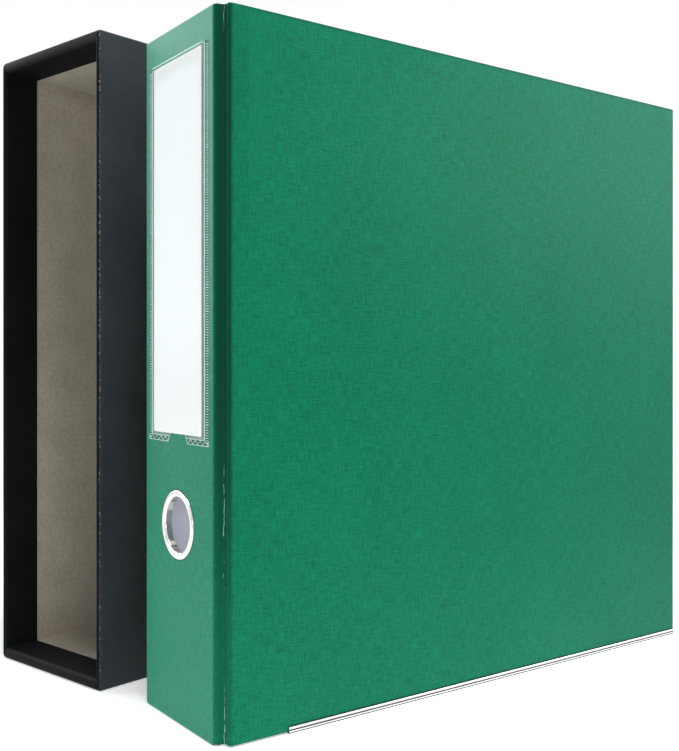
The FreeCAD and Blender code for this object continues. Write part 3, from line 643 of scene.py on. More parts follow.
def groove_shade_share(height):
    """How deep the groove's painted shade is at a height: less deep towards the foot."""
    return FOOT_SHADE_SHARE + (1 - FOOT_SHADE_SHARE) * eased(ramp(height, SHADE_DEEPENS_FROM, SHADE_DEEPENS_TO))


fold_outline = []
for point, out in zip(outer_path, outward_along(outer_path)):
    on_board = ramp((point - hinge_axis).length, ROUND_FROM, ROUND_TO)
    fold_outline.append((tuple(point), out, GROOVE_ROUND + (EDGE_ROUND - GROOVE_ROUND) * on_board))
for point, (x, y) in zip(inner_path, reversed(outward_along(inner_path[::-1]))):
    fold_outline.append((tuple(point), (-x, -y), INNER_ROUND))
groove_shade_band = [groove_shade_across(point) for point in outer_path] + [0.0] * len(inner_path)
print(len(fold_outline), "points round the fold")

# %% [markdown]
# ## The crease
# Years of bending leave a wrinkled, whitened crease. It could be painted alone, but it catches the light,
# so it is a low ridge that wanders, breaks off here and there, and is highest where the fold is worn most.
# Its pale colour is partly that whitening and partly a painted highlight.

# %% Crease
CREASE_RISE = 0.4 * MM
CREASE_STEPS = 1.9
# Each wander: its reach in steps of the path, the height of one bend in millimetres, and two seeds.
WANDERS = ((4.5, 8, 3.0, 0.5), (3.8, 2.4, 1.0, 4.5))
# Each worn place: its height and its reach in millimetres, and how high the ridge is there.
WORN_PLACES = ((8, 24, 1.0), (96, 34, 1.0), (318, 14, 0.8), (200, 60, 0.3))
fold_middle = on_groove(GROOVE_RADIUS, 0)
crease_at = min(range(len(outer_path)), key=lambda index: (outer_path[index] - fold_middle).length)


def bell(value, middle, reach):
    return math.exp(-((value - middle) / reach) ** 2)


def crease(sign):
    """The fold's swelling as a function of a point's number and height, on the front (1) or back (-1)."""
    def swell(index, z):
        if sign < 0:
            index = len(fold_outline) - 1 - index
        height = z / MM
        wander = sum(
            steps * noise.noise((height / bend, sign * turn, seed)) for steps, bend, turn, seed in WANDERS
        )
        worn = max(most * bell(height, middle, reach) for middle, reach, most in WORN_PLACES)
        whole = 0.62 + 0.4 * bell(height, 0, 36)
        unbroken = ramp(whole + 1.5 * noise.noise((height / 2.8, sign * 2.0, 8.5)), 0, 1)
        return CREASE_RISE * worn * unbroken * bell(index, crease_at + wander, CREASE_STEPS)

    return swell


print("crease at point", crease_at)

# %% [markdown]
# ## The hinge folds
# Each fold is raised in many rows, so that the crease can wander.

# %% Hinge folds
FOLD_ROWS = 240
BLEND_HEIGHT = 0.16
fold_sides = (("front", 1, "spine", "front_cover"), ("back", -1, "back_cover", "spine"))
for side, sign, near_body, far_body in fold_sides:
    outline = fold_outline if sign > 0 else mirrored(fold_outline)
    band = groove_shade_band[::sign]
    ridge = crease(sign)
    vertices, faces = raise_outline(outline, cover_low.z, cover_high.z, FOLD_ROWS, ridge)
    made = piece(f"{side}_fold_linen", vertices, faces, green_linen, "green_covering")
    rubbed, painted_shade = [], []
    for index, vertex in enumerate(vertices):
        place = index % len(outline)
        # Where the crease is painted pale: partly whitening, partly a painted highlight.
        rubbed.append(ridge(place, vertex.z) / CREASE_RISE)
        painted_shade.append(max(band[place] * groove_shade_share(vertex.z), painted_foot_shade(vertex.z, cover_low.z)))
    mark(made, "whitening_and_highlight", rubbed)
    mark(made, "shade_paint", painted_shade)
    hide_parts(f"{side}_hinge")
    ends = [on_groove(GROOVE_RADIUS, share) for share in (-sign, sign)]
    ends = [Vector((sign * end.x, end.y, BLEND_HEIGHT)) for end in ends]
    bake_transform(made)

# %% [markdown]
# ## Metals
# The finger ring and the edge strips are bright nickel, the mechanism inside is plain plated steel. A
# single metal colour would look like plastic, so each has fine rubbing marks along one direction and a
# roughness that wanders.

# %% Metal finishes
def metal(name, tint, smooth, rub_wide, rub_tall):
    """Bare metal with rubbing marks of the given millimetres."""
    finish = Finish(name)
    across, up = along_surface(finish, folded=False)
    rubbed = stretched(finish, across, up, rub_wide, rub_tall)
    clouded = stretched(finish, across, up, 9, 9)
    dull = colour(*[channel * 0.86 for channel in tint])
    finish.surface({
        "Base Color": finish.mixed(clouded, dull, colour(*tint)), "Metallic": 1.0,
        "Roughness": smooth + rubbed * 0.12 + clouded * 0.06,
    })
    finish.bumped(rubbed, 0.12, 0.05)
    return finish.material


nickel = metal("bright_nickel", (236, 234, 230), 0.08, 0.3, 3)
strip_metal = metal("edge_strip_metal", (240, 240, 240), 0.12, 14, 0.2)
ring_steel = metal("plated_steel", (205, 206, 208), 0.16, 0.25, 8)
# A dark metal painted as the shade in the strip's line, at its foot and on its rim.
shade_metal = metal("dull_pressed_line", (84, 78, 74), 0.45, 1.2, 0.6)
print("four metals")

# %% [markdown]
# ## The finger ring
# The ring is a turned eyelet: a low rounded flange that rolls into a short barrel, which goes through the
# spine. Its section could be spun with an operator, but a small loop over angles gives a clean closed
# mesh. A second, flat section lays a dark ring of painted shadow on the covering round the flange.

# %% Finger ring
BORE = 12.5
BARREL = BARREL_RADIUS / MM
BARREL_DEPTH = (ring_high.y - spine_low.y) / MM
# Sections are millimetres of (radius, height off the spine).
ring_section = [
    (BORE, -BARREL_DEPTH), (BORE, -0.4), (12.52, 0.0), (12.65, 0.3), (12.95, 0.58), (13.4, 0.76),
    (14.0, 0.84), (14.7, 0.84), (15.3, 0.78), (15.7, 0.62), (15.93, 0.35), (15.98, 0.02),
    (BARREL + 0.05, 0.02), (BARREL, -BARREL_DEPTH),
]
# A flat ring of painted shadow round the flange.
ring_shadow_section = [(15.2, -0.05), (15.2, 0.015), (16.4, 0.015), (16.45, -0.05)]


def turned(section):
    """Vertices and faces of a section that is turned about the ring's axis."""
    vertices, faces = [], []
    count = len(section)
    for facet in range(RING_FACETS):
        angle = 2 * math.pi * facet / RING_FACETS
        near = facet * count
        far = (facet + 1) % RING_FACETS * count
        for index, (radius, proud) in enumerate(section):
            vertices.append(Vector((
                ring_centre.x + radius * MM * math.cos(angle),
                spine_low.y - proud * MM,
                ring_centre.z + radius * MM * math.sin(angle),
            )))
            after = (index + 1) % count
            faces.append((near + index, near + after, far + after, far + index))
    return vertices, faces


finger_ring = piece("finger_ring_nickel", *turned(ring_section), nickel, "bright_nickel", sharp=50)
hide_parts("finger_ring")
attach(finger_ring, "spine")
ring_shadow = piece("finger_ring_painted_shadow", *turned(ring_shadow_section), bitten_linen, "green_covering", sharp=50)
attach(ring_shadow, "spine")

# %% [markdown]
# ## The edge strips
# A thin metal channel protects the bottom edge of each cover, with a rolled rim and a pressed line. Its
# section is drawn once and swept along the edge. The bottom of the line, the foot and the rim are painted
# a dark metal as their shade, and the cut ends take it too.

# %% Edge strips
strip_low, strip_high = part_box("front_edge_strip")
STRIP_GAUGE = 0.6
SHADE_LINE_HEIGHTS = (1.22 * MM, 1.82 * MM)
FOOT_LINE = 0.5 * MM
RIM_LINE = strip_high.z - 0.13 * MM


def swept(section, start, end):
    """Vertices and faces of a closed (x, z) section, swept from start to end along y."""
    vertices = [Vector((x, y, z)) for y in (start, end) for x, z in reversed(section)]
    return vertices, bridged(len(section), 2)


def on_side(section, sign):
    """A section drawn on the right (1), or the same mirrored to the left (-1)."""
    return [(sign * x, z) for x, z in section[::sign]]


def strip_section():
    """The channel's section, up its outside with rim and pressed line, and back along its inside."""
    outer, inner, top = strip_high.x / MM, strip_low.x / MM, strip_high.z / MM
    flange = [
        (0.30, 0.0), (0.09, 0.09), (0.0, 0.30), (0.0, 0.55), (0.0, 1.05), (0.06, 1.2), (0.22, 1.28),
        (0.22, 1.76), (0.06, 1.84), (0.0, 1.96), (0.0, 2.35), (0.06, top - 0.24), (0.2, top - 0.06),
        (0.4, top), (0.56, top - 0.12),
    ]
    near, far, mouth = outer - STRIP_GAUGE, inner + STRIP_GAUGE, top - 0.3
    channel = [(near, mouth), (near, STRIP_GAUGE), (far, STRIP_GAUGE), (far, mouth)]
    plain = [
        (0.56, top - 0.12), (0.4, top), (0.2, top - 0.06), (0.0, mouth), (0.0, 0.30), (0.09, 0.09),
        (0.30, 0.0),
    ]
    section = [(outer - back, height) for back, height in flange] + channel
    section += [(inner + back, height) for back, height in plain]
    return [(x * MM, z * MM) for x, z in section]


def edge_strip(side, sign):
    """The channel on one cover."""
    section = on_side(strip_section(), sign)
    made = piece(
        f"{side}_edge_channel", *swept(section, strip_low.y, strip_high.y),
        strip_metal, "edge_metal", sharp=40,
    )
    made.data.materials.append(shade_metal)
    # Faces in the line, at the foot and on the rim, and the cut ends, take the metal with painted shade.
    for panel in made.data.polygons:
        height = panel.center.z
        painted_shade = SHADE_LINE_HEIGHTS[0] < height < SHADE_LINE_HEIGHTS[1]
        in_shade = painted_shade or height < FOOT_LINE or height > RIM_LINE
        outside = sign * panel.center.x > strip_high.x - STRIP_GAUGE * MM
        cut_end = len(panel.vertices) > 4
        if cut_end or (in_shade and outside):
            panel.material_index = 1
    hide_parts(f"{side}_edge_strip")
    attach(made, f"{side}_cover")


print("the channel's section has", len(strip_section()), "points")

# %% [markdown]
# ## Strips and dark lines on both covers
# Above each strip's rim the covering carries a sliver of painted shadow. The head has no strip: there a
# thin line of painted shade rolls over the edge. A mask could paint both, but a swept sliver is sharp.

# %% Strips, painted shadows and head lines
SHADE_PROUD = 0.02 * MM
HEAD_LINE = 1.15 * MM
HEAD_LINE_START = cover_low.y + 3.5 * MM
HEAD_LINE_SHADE = 0.5
shade_in, shade_out = cover_high.x - 0.05 * MM, cover_high.x + SHADE_PROUD
# A sliver of painted shadow on the covering, just above the strip's rim.
strip_shadow_foot, strip_shadow_head = strip_high.z - 0.3 * MM, strip_high.z + 0.6 * MM
strip_shadow_section = [(shade_in, strip_shadow_foot), (shade_out, strip_shadow_foot), (shade_out, strip_shadow_head), (shade_in, strip_shadow_head)]
head_centre = (cover_high.x - EDGE_ROUND, cover_high.z - EDGE_ROUND)
head_section = [
    (shade_in, cover_high.z - HEAD_LINE), (shade_out, cover_high.z - HEAD_LINE),
    *[point for point, _ in arc(head_centre, EDGE_ROUND + SHADE_PROUD, 0, 60, 2)],
    (head_centre[0] + EDGE_ROUND / 4, head_centre[1]),
]
for side, sign in (("front", 1), ("back", -1)):
    edge_strip(side, sign)
    strip_shadow = piece(
        f"{side}_strip_painted_shadow", *swept(on_side(strip_shadow_section, sign), strip_low.y, strip_high.y),
        bitten_linen, "green_covering",
    )
    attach(strip_shadow, f"{side}_cover")
    head_line = swept(on_side(head_section, sign), HEAD_LINE_START, cover_high.y - OUTER_CORNER)
    head_shade_line = piece(f"{side}_head_line", *head_line, green_linen, "green_covering")
    # Half of the painted shade colour, as the shade on the rounded head edge.
    mark(head_shade_line, "shade_paint", [HEAD_LINE_SHADE] * len(head_shade_line.data.vertices))
    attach(head_shade_line, f"{side}_cover")

# %% [markdown]
# ## Film and weld finishes
# The label sits behind a clear film. Real glass would need many more rays than a thin film shows, so the
# film is nearly transparent, with a slow wave in it. Where a hot tool has pressed it, it is milky, and on
# its drawn slopes that milky grey also stands for their shade and reflection.

# %% Film and weld finishes
film = Finish("clear_film")
film_wave = stretched(film, *along_surface(film), 16, 40)
film.surface({"Base Color": colour(236, 240, 240), "Roughness": 0.2 + film_wave * 0.08, "Alpha": 0.08})
film.bumped(film_wave, 0.1, 0.4)


def clouded_film(name, tint, least):
    """Film that a tool has pressed: milky, with fine grain."""
    finish = Finish(name)
    milk = stretched(finish, *along_surface(finish), 0.5, 0.5)
    finish.surface({
        "Base Color": colour(*tint), "Roughness": 0.15 + milk * 0.15, "Alpha": least + milk * 0.3,
    })
    return finish.material


# Pressed film, milky, whose grey also paints the shade and reflection of the drawn slopes.
drawn_film = clouded_film("drawn_film", (176, 190, 188), 0.14)
bead_film = clouded_film("weld_bead_film", (204, 242, 226), 0.7)
print("film and weld finishes")

# %% [markdown]
# ## The label pocket
# The film is welded to the spine along its sides and foot, with a thumb notch in the foot. A flat sheet
# would be simpler, but the film stands off the card and is drawn down to the welds, so it is a grid whose
# height changes near its edges.

# %% Pocket values
pocket_low, pocket_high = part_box("label_pocket")
WELD_WIDTH = 4.3 * MM
WELD_BASE = 4.3 * MM
FOOT_WELD = 2.8 * MM
NOTCH_HALF = 7.9 * MM
NOTCH_FLARE = 2.2 * MM
NOTCH_PULL = 6 * MM
FILM_GAUGE = 0.25 * MM
SIDE_DRAW = 1.8 * MM
FOOT_DRAW = 2.4 * MM
CLOUDED_DRAW = 1.2 * MM
FILM_LOW = FILM_GAUGE + 0.04 * MM
FILM_HIGH = spine_low.y - pocket_low.y - 0.06 * MM
weld_side = pocket_high.x - WELD_WIDTH
weld_top = pocket_low.z + WELD_BASE
foot_top = pocket_low.z + FOOT_WELD


def film_stand_off(x, z):
    """How far the film stands off the spine: at the welds hardly, and by its full room in the middle."""
    share = ramp(min((weld_side - abs(x)) / SIDE_DRAW, (z - foot_top) / FOOT_DRAW), 0, 1)
    return FILM_LOW + (FILM_HIGH - FILM_LOW) * eased(share)


def notch_side(z):
    """The thumb notch's half width at a height: widest at the foot."""
    return NOTCH_HALF + NOTCH_FLARE * max(0.0, 1 - (z - pocket_low.z) / WELD_BASE)


print(f"film stands off {FILM_LOW / MM:.2f} to {FILM_HIGH / MM:.2f} mm")

# %% Pocket film
half_columns = [0.0, NOTCH_HALF * 0.6, NOTCH_HALF, 14 * MM, 20 * MM]
half_columns += [weld_side + step * MM for step in (-1.8, -1.1, -0.5, 0, 1.2)]
columns = [-x for x in reversed(half_columns[1:])] + half_columns
film_rows = [foot_top - 0.4 * MM, foot_top]
film_rows += [weld_top + step * MM for step in (-0.7, 0, 0.9, 1.8, 3)]
film_rows += [weld_top + (pocket_high.z - weld_top) * step / 12 for step in range(1, 13)]
vertices = []
for z in film_rows:
    for x in columns:
        near_notch = 1 - ramp(abs(abs(x) - NOTCH_HALF), 0, NOTCH_PULL)
        place = x + math.copysign((notch_side(z) - NOTCH_HALF) * near_notch, x) if x else x
        vertices.append(Vector((place, spine_low.y - film_stand_off(x, z), z)))
width = len(columns)
faces, milky_and_shaded = [], []
for row in range(len(film_rows) - 1):
    for column in range(width - 1):
        middle = abs(columns[column] + columns[column + 1]) / 2
        below_card = film_rows[row + 1] <= weld_top + 0.01 * MM
        if below_card and middle < NOTCH_HALF:
            continue
        start = row * width + column
        faces.append((start, start + 1, start + width + 1, start + width))
        milky_and_shaded.append(1 if below_card or middle > weld_side - CLOUDED_DRAW else 0)
pocket_film = piece("label_pocket_film", vertices, faces, film.material, "clear_film", sharp=60)
pocket_film.data.materials.append(drawn_film)
pocket_film.data.polygons.foreach_set("material_index", milky_and_shaded)
modified(pocket_film, "SOLIDIFY", thickness=FILM_GAUGE, offset=-1)
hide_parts("label_pocket")
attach(pocket_film, "spine")

# %% [markdown]
# ## Growing with Geometry Nodes
# Rungs, beads and stamp strips repeat many times. A loop could copy meshes, but a Geometry Nodes tree
# keeps their sizes as named inputs. What it makes is taken over as a plain mesh.

# %% Growing with Geometry Nodes
def start_tree(name, sizes, shape_in=False):
    """A new Geometry Nodes tree with named number inputs: the graph and its inputs."""
    tree = bpy.data.node_groups.new(name, "GeometryNodeTree")
    if shape_in:
        tree.interface.new_socket("Drawn Lines", in_out="INPUT", socket_type="NodeSocketGeometry")
    for label in sizes:
        tree.interface.new_socket(label, in_out="INPUT", socket_type="NodeSocketFloat")
    tree.interface.new_socket("Geometry", in_out="OUTPUT", socket_type="NodeSocketGeometry")
    graph = Graph(tree)
    return graph, graph.add("NodeGroupInput").other


def finish_tree(graph, geometry, material):
    """End a tree in Realize Instances and Set Material."""
    real = graph.add("GeometryNodeRealizeInstances", {0: geometry})
    painted = graph.add("GeometryNodeSetMaterial", {"Geometry": real, "Material": material})
    graph.feed(graph.tree.nodes.new("NodeGroupOutput").inputs[0], painted)
    return graph.tree


def stacked(graph, start, pitch, count, instance, scale=(1, 1, 1)):
    """One instance on each point of an upright line."""
    sockets = {"Count": count, "Start Location": start, "Offset": graph.vector(z=pitch)}
    line = graph.add("GeometryNodeMeshLine", sockets, mode="OFFSET")
    return graph.add("GeometryNodeInstanceOnPoints", {"Points": line, "Instance": instance, "Scale": scale})


def grow(name, tree, sizes, lines=()):
    """Turn a Geometry Nodes tree with these sizes, and lines to follow, into a plain mesh object."""
    points, edges = [], []
    for line in lines:
        edges += [(len(points) + index, len(points) + index + 1) for index in range(len(line) - 1)]
        points += line
    mesh = bpy.data.meshes.new(name)
    mesh.from_pydata(points, edges, [])
    made = bpy.data.objects.new(name, mesh)
    scene.collection.objects.link(made)
    modifier = made.modifiers.new("grow", "NODES")
    modifier.node_group = tree
    for item in tree.interface.items_tree:
        if item.in_out == "INPUT" and item.name in sizes:
            modifier[item.identifier] = sizes[item.name]
    baked(made)
    print(f"{name}: {len(made.data.polygons)} faces")
    return made


print("trees can be started, stacked, finished and grown")

# %% [markdown]
# ## The weld ladders
# The tool that welded the pocket's sides left a ladder of small rungs, no two quite alike. A bump would
# show them only from the front, so each rung is a flattened ball of a random size.

# %% Weld ladders
RUNG_SIZES = ("Place X", "Place Y", "Foot", "Head", "Pitch", "Rung Width", "Rung Height", "Rung Depth")
graph, size = start_tree("weld_rungs", RUNG_SIZES)
uneven = graph.add("FunctionNodeRandomValue", {2: 0.8, 3: 1.15, "Seed": 5}, 1, data_type="FLOAT")
rung_size = graph.vector(size("Rung Width"), size("Rung Depth"), size("Rung Height"))
rungs = stacked(
    graph, graph.vector(size("Place X"), size("Place Y"), size("Foot")), size("Pitch"),
    (size("Head") - size("Foot")) / size("Pitch"),
    graph.add("GeometryNodeMeshIcoSphere", {"Radius": 0.5, "Subdivisions": 2}),
    graph.add("ShaderNodeVectorMath", {0: rung_size, "Scale": uneven}, operation="SCALE"),
)
rung_tree = finish_tree(graph, rungs, bead_film)

ladder_middle = pocket_high.x - 1.5 * MM
for side, sign in (("right", 1), ("left", -1)):
    made = grow(f"{side}_weld_ladder", rung_tree, {
        "Place X": sign * ladder_middle, "Place Y": spine_low.y - 0.06 * MM,
        "Foot": pocket_low.z + 0.5 * MM, "Head": pocket_high.z, "Pitch": 1.15 * MM,
        "Rung Width": 2.7 * MM, "Rung Height": 0.42 * MM, "Rung Depth": 0.44 * MM,
    })
    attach(made, "spine")

# %% [markdown]
# ## The weld beads
# Molten film ran to a bead along the pocket's edges and beside each ladder, and the foot has a zigzag. The
# lines are drawn on the spine's face, on both sides of its middle, and a tree turns each into a bead.

# %% Weld lines
ZIGZAG_STEP = 2.4 * MM
NOTCH_GAP = 0.2 * MM
weld_face = spine_low.y - 0.05 * MM
foot = pocket_low.z + 0.3 * MM
ridge_x = weld_side + 0.65 * MM
outer_x = pocket_high.x - 0.3 * MM
zigzag_start = notch_side(foot) + 0.6 * MM
turns = round((pocket_high.x - 0.6 * MM - zigzag_start) / ZIGZAG_STEP)
ridge_line = [(ridge_x, foot_top), (ridge_x, pocket_high.z - 0.7 * MM)]
edge_line = [
    (notch_side(weld_top) + NOTCH_GAP, weld_top - 0.2 * MM), (notch_side(foot) + NOTCH_GAP, foot),
    (outer_x, foot), (outer_x, foot_top),
]
shelf_line = [(notch_side(foot_top) + 2 * NOTCH_GAP, foot_top), (ridge_x, foot_top)]
zigzag_line = [
    (zigzag_start + turn * ZIGZAG_STEP, foot_top - 0.3 * MM if turn % 2 else foot + 0.3 * MM)
    for turn in range(turns + 1)
]


def on_welds(*drawn_lines):
    """Lines on the spine's face, each on the right and on the left of its middle."""
    return [[Vector((sign * x, weld_face, z)) for x, z in line] for sign in (1, -1) for line in drawn_lines]


mouth = pocket_high.z - 0.35 * MM
mouth_line = [Vector((x, spine_low.y - film_stand_off(x, mouth), mouth)) for x in columns[1:-1]]
weld_beads = (
    ("edges", [*on_welds(edge_line, shelf_line), mouth_line], 0.22 * MM),
    ("zigzag", on_welds(zigzag_line), 0.17 * MM),
    ("ridges", on_welds(ridge_line), 0.45 * MM),
)
print(turns, "turns of the zigzag on each side")

# %% Weld beads
graph, size = start_tree("weld_beads", ("Bead Radius",), True)
path = graph.add("GeometryNodeMeshToCurve", {0: size("Drawn Lines")})
round_wire = graph.add("GeometryNodeCurvePrimitiveCircle", {"Resolution": 8, "Radius": size("Bead Radius")})
bead = graph.add("GeometryNodeCurveToMesh", {"Curve": path, "Profile Curve": round_wire, "Fill Caps": True})
bead_tree = finish_tree(graph, bead, bead_film)
for label, lines, radius in weld_beads:
    made = grow(f"pocket_weld_{label}", bead_tree, {"Bead Radius": radius}, lines)
    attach(made, "spine")

# %% [markdown]
# ## Painted shade under the welds
# The tool also pressed the linen below ladders and zigzag; its dark colour there is painted shade between
# the rungs and lines. A mask would do, but thin slabs have sharp edges and follow the pocket's own sizes.

# %% Painted shade under the welds
SLAB_PROUD, SLAB_SUNK = 0.02 * MM, 0.05 * MM
ladder_in = weld_side + 1.1 * MM
ladder_band = [
    (ladder_in, pocket_low.z), (pocket_high.x, pocket_low.z),
    (pocket_high.x, pocket_high.z), (ladder_in, pocket_high.z),
]
foot_band = [
    (notch_side(pocket_low.z), pocket_low.z), (ladder_in, pocket_low.z),
    (ladder_in, foot_top), (notch_side(foot_top), foot_top),
]
vertices, faces = [], []
for sign in (1, -1):
    for corners in (ladder_band, foot_band):
        slab, slab_faces = swept(on_side(corners, sign), spine_low.y - SLAB_PROUD, spine_low.y + SLAB_SUNK)
        faces += [tuple(index + len(vertices) for index in face) for face in slab_faces]
        vertices += slab
# Dark linen painted as the shade between the weld's rungs and lines.
made = piece("weld_painted_shade", vertices, faces, bitten_linen, "green_covering")
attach(made, "spine")

# %% [markdown]
# ## The label card
# The card is plain white board with slightly rounded corners. Its fibre hardly shows, but without it the
# card would look like a hole in the picture.

# %% Label card
CARD_CORNER = 0.8 * MM
card = Finish("label_card_paper")
card_fibre = stretched(card, *along_surface(card), 0.7, 1.2, 4.0)
card.surface({
    "Base Color": card.mixed(card_fibre, colour(245, 245, 245), colour(250, 250, 250)),
    "Roughness": 0.75, "Specular IOR Level": 0.15,
})
card.bumped(card_fibre, 0.1, 0.05)
card_low, card_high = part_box("label_card")
card_outline = rounded_rectangle((card_low.x, card_low.z), (card_high.x, card_high.z), CARD_CORNER)
label = piece(
    "label_card_white", *swept(card_outline, card_low.y, card_high.y), card.material, "label_paper",
)
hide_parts("label_card")
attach(label, "label")

# %% [markdown]
# ## Black paper and greyboard
# The slipcase is greyboard wrapped in black paper that is turned in round the mouth. Where it is handled,
# one front edge is rubbed to pale specks. The wear could be painted, but here the mesh carries one number
# that is 1 along that edge, and the material breaks it up with noise.

# %% Paper and board finishes
def grain(finish, size, detail=3.0):
    """Noise with cells of one size in millimetres."""
    sockets = {"Vector": finish.point(), "Scale": 1 / (size * MM), "Detail": detail}
    return finish.add("ShaderNodeTexNoise", sockets)


def black_wrap(name, dark, light):
    """Black covering paper, rubbed pale where the piece's own number says so."""
    finish = Finish(name)
    fine, cloud = grain(finish, 0.8), grain(finish, 45)
    speck = finish.clamped(0.54, 0.66, grain(finish, 1.4, 4.0))
    tone = finish.mixed(finish.clamped(0.3, 0.7, fine * 0.5 + cloud * 0.5), dark, light)
    finish.surface({
        "Base Color": finish.mixed(finish.number("wear") * speck * 0.7, tone, colour(150, 150, 148)),
        "Roughness": 0.45 + fine * 0.2, "Specular IOR Level": 0.03,
    })
    finish.bumped(fine + cloud * 0.5, 0.25, 0.2)
    return finish.material


def board_finish(name, dark, light):
    """Board of mixed fibres, with dark flecks."""
    finish = Finish(name)
    fibre, cloud = grain(finish, 1.6, 5.0), grain(finish, 22)
    fleck = finish.clamped(0.64, 0.74, grain(finish, 0.9, 2.0))
    tone = finish.mixed(finish.clamped(0.3, 0.7, fibre * 0.6 + cloud * 0.4), dark, light)
    finish.surface({
        "Base Color": finish.mixed(fleck * 0.35, tone, colour(86, 78, 68)), "Roughness": 0.85,
    })
    finish.bumped(fibre, 0.3, 0.2)
    return finish.material


black_paper = black_wrap("black_paper", colour(49, 54, 57), colour(62, 67, 70))
# The same black paper painted darker, as the shade on the inner lip and the turn-in.
shaded_black_paper = black_wrap("black_turn_in", colour(17, 18, 20), colour(25, 26, 28))
greyboard = board_finish("greyboard", colour(165, 157, 143), colour(188, 180, 165))
print("black paper and greyboard")

# %% [markdown]
# ## The slipcase's place
# The slipcase stands turned beside the album, so an upright box doesn't give its size, and its points are
# measured along its own width and depth. Its shapes are lofts of rounded rectangles, each drawn in at the
# sides and ends and lying at a depth behind the mouth.

# %% Slipcase
SLIP_YAW = math.radians(13)
CASE_CORNER, LEAST_CORNER, CORNER_LOSS = 1.6 * MM, 0.4 * MM, 0.4
slip_right = Vector((math.cos(SLIP_YAW), math.sin(SLIP_YAW), 0))
slip_back = Vector((-math.sin(SLIP_YAW), math.cos(SLIP_YAW), 0))
slip_points = [vertex.co for vertex in nodes["slipcase_covering"].data.vertices]
across_range = [point.dot(slip_right) for point in slip_points]
depth_range = [point.dot(slip_back) for point in slip_points]
slip_left, slip_wide = min(across_range), max(across_range) - min(across_range)
slip_front, slip_deep = min(depth_range), max(depth_range) - min(depth_range)
slip_tall = max(point.z for point in slip_points)


def lofted_case(rings):
    """Vertices and faces of rings, each given by how far its sides and ends are drawn in, and its depth."""
    vertices = []
    for side_in, end_in, depth in rings:
        radius = max(LEAST_CORNER, CASE_CORNER - side_in * CORNER_LOSS)
        high = (slip_wide - side_in, slip_tall - end_in)
        for x, z in rounded_rectangle((side_in, end_in), high, radius, 4):
            flat = slip_right * (slip_left + x) + slip_back * (slip_front + depth)
            vertices.append(flat + Vector((0, 0, z)))
    return vertices, bridged(len(vertices) // len(rings), len(rings))


print(f"slipcase {slip_wide / MM:.1f} wide, {slip_deep / MM:.1f} deep, {slip_tall / MM:.1f} mm tall")

# %% [markdown]
# ## The slipcase's wrapping
# The wrapping is one sheet that runs over the outside, rolls round the mouth's edges and ends 20 mm
# inside. Its last rings pass inside the boards, which closes the skin without covering them. From the
# outer part of the lip inwards the paper is painted darker, as the shade inside the mouth.

# %% Wrapping
SIDE_WALL, END_WALL, BACK_WALL = 2.9 * MM, 6.1 * MM, 2.95 * MM
TURN_IN = 20 * MM
LIP_ROUND = 2.0 * MM
LIP_DEPTH = 4 * MM
PAPER = 0.35 * MM
LIP_DEGREES = range(0, 181, 15)
WORN_DEGREES = (30, 45, 135, 150)
LIGHT_LIP_RINGS = 3
# The two points that end a ring's right side, at its foot and at its head, and how worn they are.
WORN_POINTS = {4: 0.45, 5: 1.0}
rings = [
    (3 * MM, 3 * MM, slip_deep), (1.2 * MM, 1.2 * MM, slip_deep),
    (0.35 * MM, 0.35 * MM, slip_deep - 0.35 * MM), (0, 0, slip_deep - 1.2 * MM), (0, 0, LIP_DEPTH),
]
dark_from = len(rings) + LIGHT_LIP_RINGS
worn_rings = [len(rings) + LIP_DEGREES.index(degrees) for degrees in WORN_DEGREES]
for degrees in LIP_DEGREES:
    angle = math.radians(degrees)
    drawn_in = (1 - math.cos(angle)) / 2
    rings.append((SIDE_WALL * drawn_in, END_WALL * drawn_in, LIP_ROUND * (1 - math.sin(angle))))
rings += [(SIDE_WALL, END_WALL, LIP_DEPTH), (SIDE_WALL, END_WALL, TURN_IN)]
dark_to = len(rings)
rings += [
    (SIDE_WALL - PAPER, END_WALL - PAPER, TURN_IN), (SIDE_WALL / 2, END_WALL / 2, TURN_IN + 0.3 * MM),
    (SIDE_WALL / 2, END_WALL / 2, slip_deep - BACK_WALL / 2),
]
vertices, faces = lofted_case(rings)
slip_wrap = piece("slipcase_wrapping", vertices, faces, black_paper, "black_covering", sharp=45)
# The lip's inner half and the turn-in take the paper with painted shade.
slip_wrap.data.materials.append(shaded_black_paper)
in_ring = len(vertices) // len(rings)
slip_wrap.data.polygons.foreach_set("material_index", [
    1 if dark_from <= (index - 2) // in_ring < dark_to else 0 for index in range(len(faces))
])
worn = []
for index in range(len(vertices)):
    ring, place = divmod(index, in_ring)
    worn.append(WORN_POINTS.get(place, 0.0) if ring in worn_rings else 0.0)
mark(slip_wrap, "wear", worn)
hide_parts("slipcase_covering", "slipcase_turn_in")
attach(slip_wrap, "slipcase")

# %% [markdown]
# ## The slipcase's boards
# Five boards are glued together under the paper, and only their inside faces show. Five slabs would do,
# but one loft has no gaps in its corners.

# %% Boards
inside_wall, inside_end = SIDE_WALL - PAPER, END_WALL - PAPER
BOARD_MOUTH = 6 * MM
vertices, faces = lofted_case([
    (MM, MM, slip_deep - MM), (MM, MM, BOARD_MOUTH), (inside_wall, inside_end, BOARD_MOUTH),
    (inside_wall, inside_end, slip_deep - BACK_WALL),
])
slip_boards = piece("slipcase_greyboard", vertices, faces, greyboard, "greyboard", sharp=45)
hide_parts(*[f"slipcase_{name}_board" for name in ("left", "right", "top", "bottom", "back")])
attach(slip_boards, "slipcase")

# %% [markdown]
# ## Inside the album
# Boards, linings, leaves and mechanism keep their measured solids and only get finishes: pale paper with a
# little tooth for the linings, white card for the leaves, plated steel for the mechanism.

# %% Finishes for the inside
def painted(material, *names):
    for name in names:
        nodes[name].data.materials.clear()
        nodes[name].data.materials.append(material)


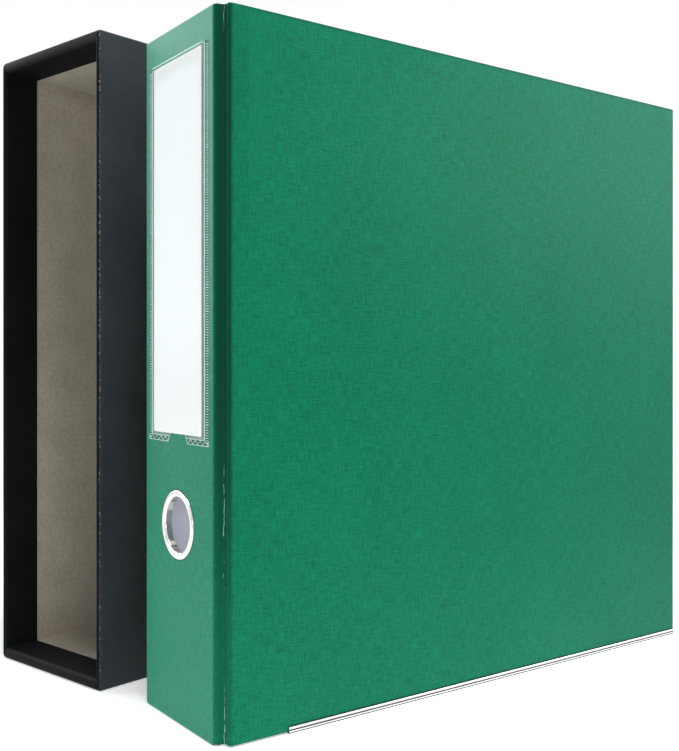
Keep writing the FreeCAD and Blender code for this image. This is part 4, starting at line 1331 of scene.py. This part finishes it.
def plain_paper(name, dark, light, fibre_size, detail, roughness, relief):
    """Paper whose fibres show in its colour and a little in its relief."""
    finish = Finish(name)
    fibre = grain(finish, fibre_size, detail)
    finish.surface({"Base Color": finish.mixed(fibre, dark, light), "Roughness": roughness})
    finish.bumped(fibre, relief, 0.1)
    return finish.material


lining = plain_paper(
    "pale_lining_paper", colour(228, 231, 243), colour(238, 240, 250), 1.1, 5.0, 0.8, 0.15,
)
leaf_card = plain_paper(
    "white_leaf_card", colour(228, 225, 216), colour(241, 238, 230), 0.7, 4.0, 0.7, 0.2,
)
case_board = board_finish("case_board", colour(120, 112, 100), colour(150, 142, 128))
leaf_names = [f"leaf_{number}" for number in range(1, 7)]
painted(lining, "front_lining", "back_lining", "spine_lining")
painted(case_board, "front_board", "back_board", "spine_board")
painted(nickel, "finger_ring_washer")
painted(ring_steel, "ring_housing", "housing_rivets", "lever_pins", "fore_blade", "spine_blade",
        "fore_ring_halves", "spine_ring_halves", "lower_lever", "upper_lever")
painted(leaf_card, *leaf_names)
print("inside finished")

# %% [markdown]
# ## The stamp strips
# Each leaf carries rows of clear strips that hold the stamps. An array modifier would do, but the stack
# that made the ladders serves here too.

# %% Stamp strips
STRIP_SIZES = ("Face", "Near", "Far", "Foot", "Pitch", "Strips", "Strip Height", "Strip Gauge")
graph, size = start_tree("stamp_strips", STRIP_SIZES)
first = graph.vector(
    size("Face") + size("Strip Gauge") * 0.25,
    (size("Far") + size("Near")) * 0.5,
    size("Foot") + size("Strip Height") * 0.5,
)
strip_size = graph.vector(size("Strip Gauge"), size("Far") - size("Near"), size("Strip Height"))
strip = graph.add("GeometryNodeMeshCube", {"Size": strip_size})
strip_tree = finish_tree(graph, stacked(graph, first, size("Pitch"), size("Strips"), strip), film.material)
for name in leaf_names:
    leaf_low, leaf_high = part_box(name)
    made = grow(f"{name}_strips", strip_tree, {
        "Face": leaf_high.x, "Near": leaf_low.y + 22 * MM, "Far": leaf_high.y - 5 * MM,
        "Foot": leaf_low.z + 8 * MM, "Pitch": 41 * MM, "Strips": 7.0,
        "Strip Height": 34 * MM, "Strip Gauge": 0.12 * MM,
    })
    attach(made, name)
